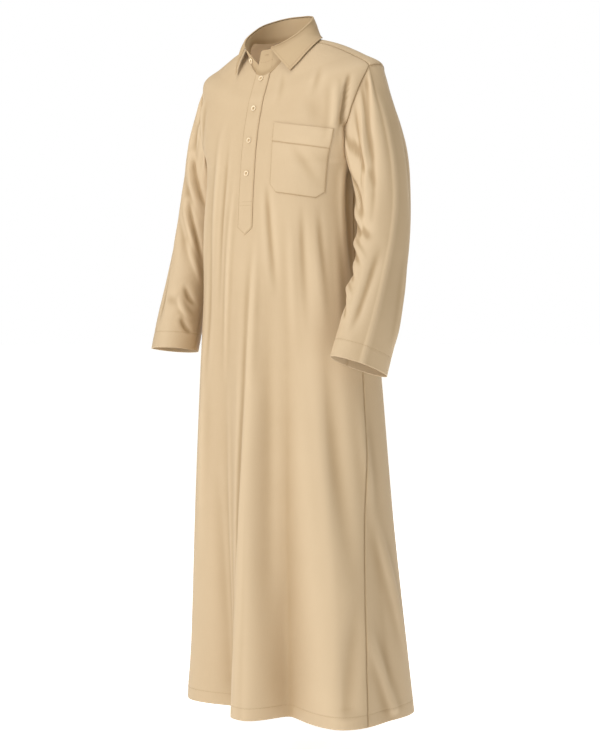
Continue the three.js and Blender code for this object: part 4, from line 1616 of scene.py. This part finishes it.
@dataclass
class CollarPieces:
    """The collar's stand, its leaf and the sewn patch and buttonhole on the stand's left end."""

    form: CollarForm
    wall: float = 1.6
    patch: tuple[float, float] = (19.0, 0.5)  # the sewn patch's end and height on the stand
    buttonhole: tuple[float, float, float] = (-5.0, 5.0, 0.78)  # its ends and its height
    sewn_inset: float = 5.0
    stand_cut: Cut = Cut(0.50, 0.054, 0.0165)
    leaf_cut: Cut = Cut(0.455, 0.085, 0.021)

    def stand(self) -> Panel:
        """Lays the stand on the neck seam.

        Returns:
            The panel.
        """
        start, end = self.form.stand_ends
        across = spaced((start, start + 9, 12), (start + 9, end, 150))
        up = spaced((-0.05, 0.12, 5), (0.12, 0.9, 14), (0.9, 1, 3))
        lines = (
            Line(Edge.BOTTOM, depth=0.8, width=1.8, shade=0.5),
            # painted shadow of the leaf over the stand's lower part
            Line(Edge.BOTTOM, inset=5.0, depth=0.0, width=8.0, shade=0.55, pucker=0.35, pitch=12),
            Line(Edge.LEFT, inset=3.0, depth=0.3, width=1.0, shade=0.2),
        )
        return Panel("collar_stand", self.form.stand_point, across, up, lines)

    def leaf(self) -> Panel:
        """Lays the leaf, from its lower edge over its roll.

        Returns:
            The panel.
        """

        def point(share: Array, up: Array) -> Array:
            """Returns the leaf's points, for a share round it and a height, -1 at its lower edge."""
            return self.form.leaf_point(share, -up)

        across = spaced((0, 0.02, 4), (0.02, 0.98, 130), (0.98, 1, 4))
        up = spaced((-1, -0.9, 5), (-0.9, -0.06, 22), (-0.06, 1, 14))
        sewn = Line(Edge.BOTTOM, inset=self.sewn_inset, depth=0.35, width=1.2, shade=0.2)
        lines = (sewn, replace(sewn, edge=Edge.LEFT), replace(sewn, edge=Edge.RIGHT))
        return Panel("collar_leaf", point, across, up, lines)

    def build(self, materials: Materials) -> None:
        """Makes the stand, the leaf and their stitches.

        Args:
            materials: the robe's materials.
        """
        stand, leaf = self.stand(), self.leaf()
        for panel, cut in ((stand, self.stand_cut), (leaf, self.leaf_cut)):
            piece = panel.make(self.wall, materials.collar)
            rounded(piece, 0.5)
            placed(piece, Slot.COLLAR, [panel.name], cut, Held.FOLDED)
        sewn = Stitching("stitches_collar")
        for edge, trims in ((Edge.BOTTOM, (5, 5)), (Edge.LEFT, (5, 12)), (Edge.RIGHT, (5, 12))):
            sewn.row(leaf.path(edge, self.sewn_inset, trims))
        end, height = self.patch
        start, steps = self.form.stand_ends[0] + 3, np.linspace(0, 1, 16)
        sewn.row(self.form.stand_cells(mix(start, end, steps), np.full(16, height), 0.1))
        sewn.row(self.form.stand_cells(np.full(16, end), mix(0.1, 0.98, steps), 0.1))
        placed(sewn.make(materials.thread), Slot.COLLAR)
        left, right, height = self.buttonhole
        hole = Stitching("stitches_buttonhole", Stitch(0.8, 1.7, 0.7))
        hole.row(self.form.stand_cells(mix(left, right, steps), np.full(16, height), 0.05))
        placed(hole.make(materials.thread), Slot.COLLAR)


@dataclass
class PlacketPieces:
    """The upper placket with its pointed foot, and the under-placket that fills the front's cut."""

    body: BodyForm
    half_width: float = 20.0
    corner: float = -399.0
    tip: float = -414.0
    top: float = 104.0
    lift: float = 2.05
    wall: float = 1.6
    under_wall: float = 1.2
    sewn_inset: float = 2.2
    point_reach: float = 30.0  # how far above its corners the upper placket starts to run to its tip
    cross_lines: tuple[float, float] = (-344.5, -352.0)
    under_edges: tuple[float, float] = (-18.7, 16.7)
    foot: float = -392.0
    upper_cut: Cut = Cut(0.042, 0.342, 0.0135)
    under_cut: Cut = Cut(0.037, 0.328, 0.0115)

    def upper_point(self, share: Array, level: Array) -> Array:
        """Lays points of the upper placket, whose foot is pointed.

        Args:
            share: from its right edge (-1) to its left one (1).
            level: the points' levels, as if its foot were straight.

        Returns:
            The points.
        """
        near_foot = 1 - np.clip((level - self.corner) / self.point_reach, 0, 1)
        height = level - near_foot * (self.corner - self.tip) * (1 - np.abs(share))
        angle = self.body.angle_at(share * self.half_width, height)
        return self.body.cells(angle, height, self.lift)[0]

    def under_point(self, share: Array, level: Array) -> Array:
        """Returns the under-placket's points, from its right edge (0) to its left one (1)."""
        x = mix(*self.under_edges, share)
        return self.body.point(self.body.angle_at(x, level), level)

    def build(self, materials: Materials) -> None:
        """Makes both plackets and their stitches.

        Args:
            materials: the robe's materials.
        """
        across = spaced((-1, -0.85, 4), (-0.85, 0, 6), (0, 0.85, 6), (0.85, 1, 4))
        up = spaced((self.corner, -360, 20), (-360, self.top, 150))
        inset = self.sewn_inset
        sewn = Line(Edge.LEFT, inset=inset, depth=0.35, width=1.1, shade=0.4, pucker=0.25, pitch=8)
        lines = (sewn, replace(sewn, edge=Edge.RIGHT), replace(sewn, edge=Edge.BOTTOM))
        upper = Panel("placket_upper", self.upper_point, across, up, lines)
        piece = upper.make(self.wall, materials.cloth)
        rounded(piece, 0.4)
        placed(piece, Slot.CLOTH, ["placket_upper"], self.upper_cut, Held.LAID)
        up = spaced((self.foot, NECK_LEVEL, 110))
        under = Panel("placket_under", self.under_point, spaced((0, 1, 8)), up)
        piece = under.make(self.under_wall, materials.collar)
        placed(piece, Slot.COLLAR, ["placket_under"], self.under_cut, Held.LAID)
        stitches = Stitching("stitches_placket")
        for edge in (Edge.LEFT, Edge.RIGHT, Edge.BOTTOM):
            stitches.row(upper.path(edge, inset, (2, 2)))
        for height in self.cross_lines:
            x = np.linspace(-self.half_width + inset, self.half_width - inset, 12)
            heights = np.full(12, height)
            level = self.body.level_at(self.body.angle_at(x, heights), heights)
            stitches.row(self.body.cells(self.body.angle_at(x, level), level, self.lift))
        placed(stitches.make(materials.thread), Slot.CLOTH)


@dataclass
class PocketPieces:
    """The chest pocket and the band along its mouth."""

    body: BodyForm
    angles: tuple[float, float] = (25.0, 65.5)
    top: float = -181.0
    outer_drop: float = 18.0
    band: float = 40.0
    depth: float = 143.0
    chamfer: float = 15.0
    chamfer_angle: float = 6.0
    sewn_inset: float = 2.0
    pocket_wall: float = 1.6
    pocket_lift: float = 2.05
    band_wall: float = 2.4
    band_lift: float = 2.85
    pocket_cut: Cut = Cut(0.131, 0.112, 0.0125)
    band_cut: Cut = Cut(0.136, 0.042, 0.0054)

    def surface(self, lift: float) -> Surface:
        """Lays the pocket's surface on the front.

        Args:
            lift: how far it stands off the front, in millimetres.

        Returns:
            A function of a share round and of a height, 0 at the mouth, that gives points.
        """

        def point(share: Array, up: Array) -> Array:
            """Returns the pocket's points."""
            depth, (inner, outer) = -up, self.angles
            inset = self.chamfer_angle * np.clip((depth - self.depth) / self.chamfer + 1, 0, 1)
            angle = mix(inner + inset, outer - inset, share)
            lower = self.outer_drop * (angle - inner) / (outer - inner)
            level = self.body.level_at(angle, self.top - lower - depth)
            return self.body.cells(angle, level, lift)[0]

        return point

    def build(self, materials: Materials) -> None:
        """Makes the pocket, its band and their stitches.

        Args:
            materials: the robe's materials.
        """
        across = spaced((0, 0.04, 4), (0.04, 0.96, 40), (0.96, 1, 4))
        inset = self.sewn_inset
        sewn = Line(Edge.LEFT, inset=inset, depth=0.35, width=1.1, shade=0.25, pucker=0.25, pitch=8)
        # painted shadow along the pocket's and the band's edges: strong on the right and at the bottom,
        # fainter on the left
        rim = Line(Edge.RIGHT, depth=0.2, width=1.3, shade=0.8)
        lines = (sewn, replace(sewn, edge=Edge.RIGHT), replace(sewn, edge=Edge.BOTTOM), rim,
                 replace(rim, edge=Edge.BOTTOM), replace(rim, edge=Edge.LEFT, shade=0.4))
        cut_off = -self.depth + self.chamfer
        rows = spaced((-self.depth, cut_off, 6), (cut_off, -self.band, 30))
        pocket = Panel("pocket", self.surface(self.pocket_lift), across, rows, lines)
        piece = pocket.make(self.pocket_wall, materials.cloth)
        rounded(piece, 0.4)
        placed(piece, Slot.CLOTH, ["pocket"], self.pocket_cut, Held.LAID)
        rows = spaced((-self.band, 0, 16))
        band = Panel("pocket_band", self.surface(self.band_lift), across, rows, lines)
        piece = band.make(self.band_wall, materials.cloth)
        rounded(piece, 0.6)
        placed(piece, Slot.CLOTH, ["pocket_band"], self.band_cut, Held.LAID)
        stitches = Stitching("stitches_pocket")
        for edge in (Edge.LEFT, Edge.RIGHT, Edge.BOTTOM):
            stitches.row(pocket.path(edge, inset, (2, 0)))
            stitches.row(band.path(edge, inset, (2, 2)))
        placed(stitches.make(materials.thread), Slot.CLOTH)


@dataclass
class Buttons:
    """Four-hole buttons down the placket and one on the stand's right end."""

    body: BodyForm
    collar: CollarForm
    radius: float = 5.75
    thick: float = 2.6
    rim: float = 1.6
    dish: float = 0.9
    slope: float = 0.5  # the width of the dish's slope
    hole_steps: int = 9
    holes: tuple[float, float] = (0.9, 1.9)  # how far from both middle lines the four holes reach
    hole_depth: float = 1.2
    thread: Stitch = Stitch(3.4, 0.8, 0.9, steps=6)
    thread_places: tuple[float, float] = (1.7, 1.3)  # a thread's ends and its distance from the middle
    weld: float = 0.02
    lift: float = 2.35
    heights: tuple[float, ...] = (-85.0, -149.0, -216.5, -285.0)
    collar_place: tuple[float, float] = (330.0, 0.55)  # its angle and its share up the stand
    collar_lift: float = 0.3

    def shape(self) -> bmesh.types.BMesh:
        """Makes one button, flat on the XY plane, in millimetres.

        Returns:
            The button's closed shape.
        """
        bm = bmesh.new()
        steps, inner = self.hole_steps, self.radius - self.rim - self.slope
        floor = self.thick - self.dish
        bmesh.ops.create_grid(bm, x_segments=steps, y_segments=steps, size=1.0)
        # the dish's floor is marked for painted shade
        dish = bm.verts.layers.float.new("dish_shade")
        for vert in bm.verts:
            vert[dish] = 1.0
            x, y = vert.co.x, vert.co.y
            reach, other = (x, y) if abs(x) > abs(y) else (y, x)
            turn = (math.pi / 4) * (other / reach) if reach else 0.0
            along, aside = reach * math.cos(turn), reach * math.sin(turn)
            vert.co = Vector((along, aside, 0) if abs(x) > abs(y) else (aside, along, 0)) * inner
            vert.co.z = floor
        near, far = self.holes
        holes = [f for f in bm.faces if all(near < abs(c) < far for c in f.calc_center_median()[:2])]
        made = bmesh.ops.extrude_discrete_faces(bm, faces=holes)["faces"]
        for face in made:
            for vert in face.verts:
                vert.co.z -= self.hole_depth
        profile = (
            (inner, floor), (inner + 0.35, floor + 0.1), (self.radius - self.rim, self.thick - 0.15),
            (self.radius - self.rim / 2, self.thick), (self.radius - 0.25, self.thick - 0.35),
            (self.radius, self.thick / 2), (self.radius - 0.3, 0.35), (self.radius - 0.9, 0.0), (0.4, 0.0),
        )
        start = math.pi / 4
        verts = [bm.verts.new((r * math.cos(start), r * math.sin(start), z)) for r, z in profile]
        edges = [bm.edges.new(pair) for pair in zip(verts, verts[1:])]
        bmesh.ops.spin(bm, geom=[*verts, *edges], axis=(0, 0, 1), cent=(0, 0, 0), angle=math.tau,
                       steps=4 * steps, use_merge=True, use_duplicate=False)
        bmesh.ops.remove_doubles(bm, verts=bm.verts, dist=self.weld)
        bmesh.ops.recalc_face_normals(bm, faces=bm.faces)
        return bm

    def sew_on(self, name: str, point: Array, normal: Array, materials: Materials) -> None:
        """Sets a button and its thread on the cloth.

        Args:
            name: the button's name.
            point: the middle of its underside, in millimetres.
            normal: the way that it faces.
            materials: the robe's materials.
        """
        turn = Vector(normal).to_track_quat("Z", "Y").to_matrix().to_4x4()
        matrix = Matrix.Translation(Vector(point) * MM) @ turn @ Matrix.Scale(MM, 4)
        bm = self.shape()
        bmesh.ops.transform(bm, matrix=matrix, verts=bm.verts)
        button = object_from(f"resin_{name}", bm, materials.button)
        subdivided = button.modifiers.new("rounded", "SUBSURF")
        subdivided.levels = subdivided.render_levels = 1
        placed(button, Slot.BUTTON, [name])
        thread = Stitching(f"thread_{name}", self.thread)
        across, up = np.array(turn.to_3x3())[:, 0], np.array(turn.to_3x3())[:, 1]
        top = point + normal * (self.thick - self.dish + 0.1)
        end, beside = self.thread_places
        for side in (-1, 1):
            places = np.array([top + up * beside * side + across * step for step in (-end, 0, end)])
            thread.row((places, np.array([normal] * 3)))
        placed(thread.make(materials.thread), Slot.BUTTON)

    def build(self, materials: Materials) -> None:
        """Makes the five buttons.

        Args:
            materials: the robe's materials.
        """
        for number, height in enumerate(self.heights):
            level = self.body.level_at(np.zeros(1), np.array([height]))
            point, normal = self.body.cells(np.zeros(1), level, self.lift)
            self.sew_on(f"button_{number + 1}", point[0], normal[0], materials)
        point, normal = self.collar.stand_cells(*np.array(self.collar_place)[:, None], self.collar_lift)
        self.sew_on("button_collar", point[0], normal[0], materials)


# ---- The studio ----
@dataclass(frozen=True)
class Lamp:
    """A soft rectangular light, aimed at the robe's middle. Places are azimuth, height and distance."""

    name: str
    azimuth: float
    height: float
    distance: float
    size: float
    power: float
    aim: float = -0.65

    def build(self) -> None:
        """Makes the light, aimed at a height on the robe's middle line and hidden from the camera."""
        light = bpy.data.lights.new(self.name, "AREA")
        light.energy, light.size = self.power, self.size
        lamp = bpy.data.objects.new(self.name, light)
        turn = math.radians(self.azimuth)
        away = Vector((math.sin(turn), -math.cos(turn), 0))
        lamp.location = away * self.distance + Vector((0, 0, self.height))
        lamp.rotation_euler = (Vector((0, 0, self.aim)) - lamp.location).to_track_quat("-Z", "Y").to_euler()
        lamp.visible_camera = False
        bpy.context.scene.collection.objects.link(lamp)


@dataclass
class Studio:
    """The camera, the lights, the pale floor and the white surroundings."""

    azimuth: float = 40.0
    distance: float = 4.0
    aside: float = 0.0252
    level: float = -0.53
    pitch: float = 1.275
    lens: float = 89.9
    lens_shift: float = -0.056
    sensor: float = 36.0
    view_end: float = 200.0
    floor_level: float = -1.505
    floor_radius: float = 30.0
    surround: Colour = (0.265, 0.24, 0.185, 1.0)
    lamps: tuple[Lamp, ...] = (
        Lamp("key", -6, 1.45, 3.55, 2.0, 100),
        Lamp("front", 62, 0.2, 5.0, 3.0, 17),
        Lamp("top", 0, 2.2, 0.3, 1.4, 24),
        Lamp("back", 200, 0.6, 4.2, 2.5, 32),
        Lamp("inner", 0, -0.42, 0.001, 0.12, 0.55, aim=0.2),
    )

    def camera(self) -> None:
        """Makes the camera."""
        data = bpy.data.cameras.new("camera")
        data.lens, data.sensor_width, data.sensor_fit = self.lens, self.sensor, "AUTO"
        data.shift_y, data.clip_end = self.lens_shift, self.view_end
        camera = bpy.data.objects.new("camera", data)
        turn = math.radians(self.azimuth)
        away = Vector((math.sin(turn), -math.cos(turn), 0))
        right = Vector((math.cos(turn), math.sin(turn), 0))
        camera.location = away * self.distance + right * self.aside + Vector((0, 0, self.level))
        camera.rotation_euler = (math.radians(90 - self.pitch), 0, turn)
        scene = bpy.context.scene
        scene.collection.objects.link(camera)
        scene.camera = camera

    def world(self) -> None:
        """Makes even, slightly warm surroundings, pure white where the camera sees them."""
        world = bpy.data.worlds.new("surroundings")
        bpy.context.scene.world = world
        world.use_nodes = True
        nodes = Nodes(world.node_tree)
        seen = nodes.node("ShaderNodeLightPath", {}, {}).outputs["Is Camera Ray"]
        light = nodes.mixed(self.surround, WHITE, seen)
        background = nodes.node("ShaderNodeBackground", {}, {"Color": light})
        nodes.node("ShaderNodeOutputWorld", {}, {"Surface": background.outputs[0]})

    def floor(self) -> None:
        """Makes the floor."""
        bm = bmesh.new()
        bmesh.ops.create_circle(bm, cap_ends=True, segments=96, radius=self.floor_radius,
                                matrix=Matrix.Translation((0, 0, self.floor_level)))
        object_from("floor", bm, FloorFinish().material())

    def build(self) -> None:
        """Sets the studio up."""
        self.camera()
        self.world()
        self.floor()
        for lamp in self.lamps:
            lamp.build()
        bpy.context.scene.view_settings.view_transform = "Standard"


def dye() -> Materials:
    """Makes the robe's materials.

    Returns:
        The materials.
    """
    # each cloth's second colour is its darker tone and its painted shade
    cloth = ClothFinish("sand_twill", srgb(200, 178, 147), srgb(161, 135, 100))
    collar = ClothFinish("sand_twill_fused", srgb(184, 160, 126), srgb(150, 124, 90), crinkle=0.0003)
    thread = ThreadFinish("sand_thread", srgb(178, 150, 112), srgb(125, 98, 66))
    # the button's last colour is painted shade for its sunken middle
    button = ResinFinish("ivory_resin", srgb(236, 219, 190), srgb(222, 202, 168), srgb(198, 170, 132))
    return Materials(cloth.material(), collar.material(), thread.material(), button.material())


def main() -> None:
    """Builds the robe on its frame, and the studio round it."""
    logging.basicConfig(level=logging.INFO, format="%(message)s", stream=sys.stdout)
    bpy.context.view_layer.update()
    materials = dye()
    body, seams = BodyForm(), Seams()
    collar = CollarForm(body)
    BodyPieces(body, seams).build(materials)
    SleevePieces([SleeveForm(side, body, seams) for side in Side]).build(materials)
    CollarPieces(collar).build(materials)
    PlacketPieces(body).build(materials)
    PocketPieces(body).build(materials)
    Buttons(body, collar).build(materials)
    Studio().build()


if __name__ == "__main__":
    main()
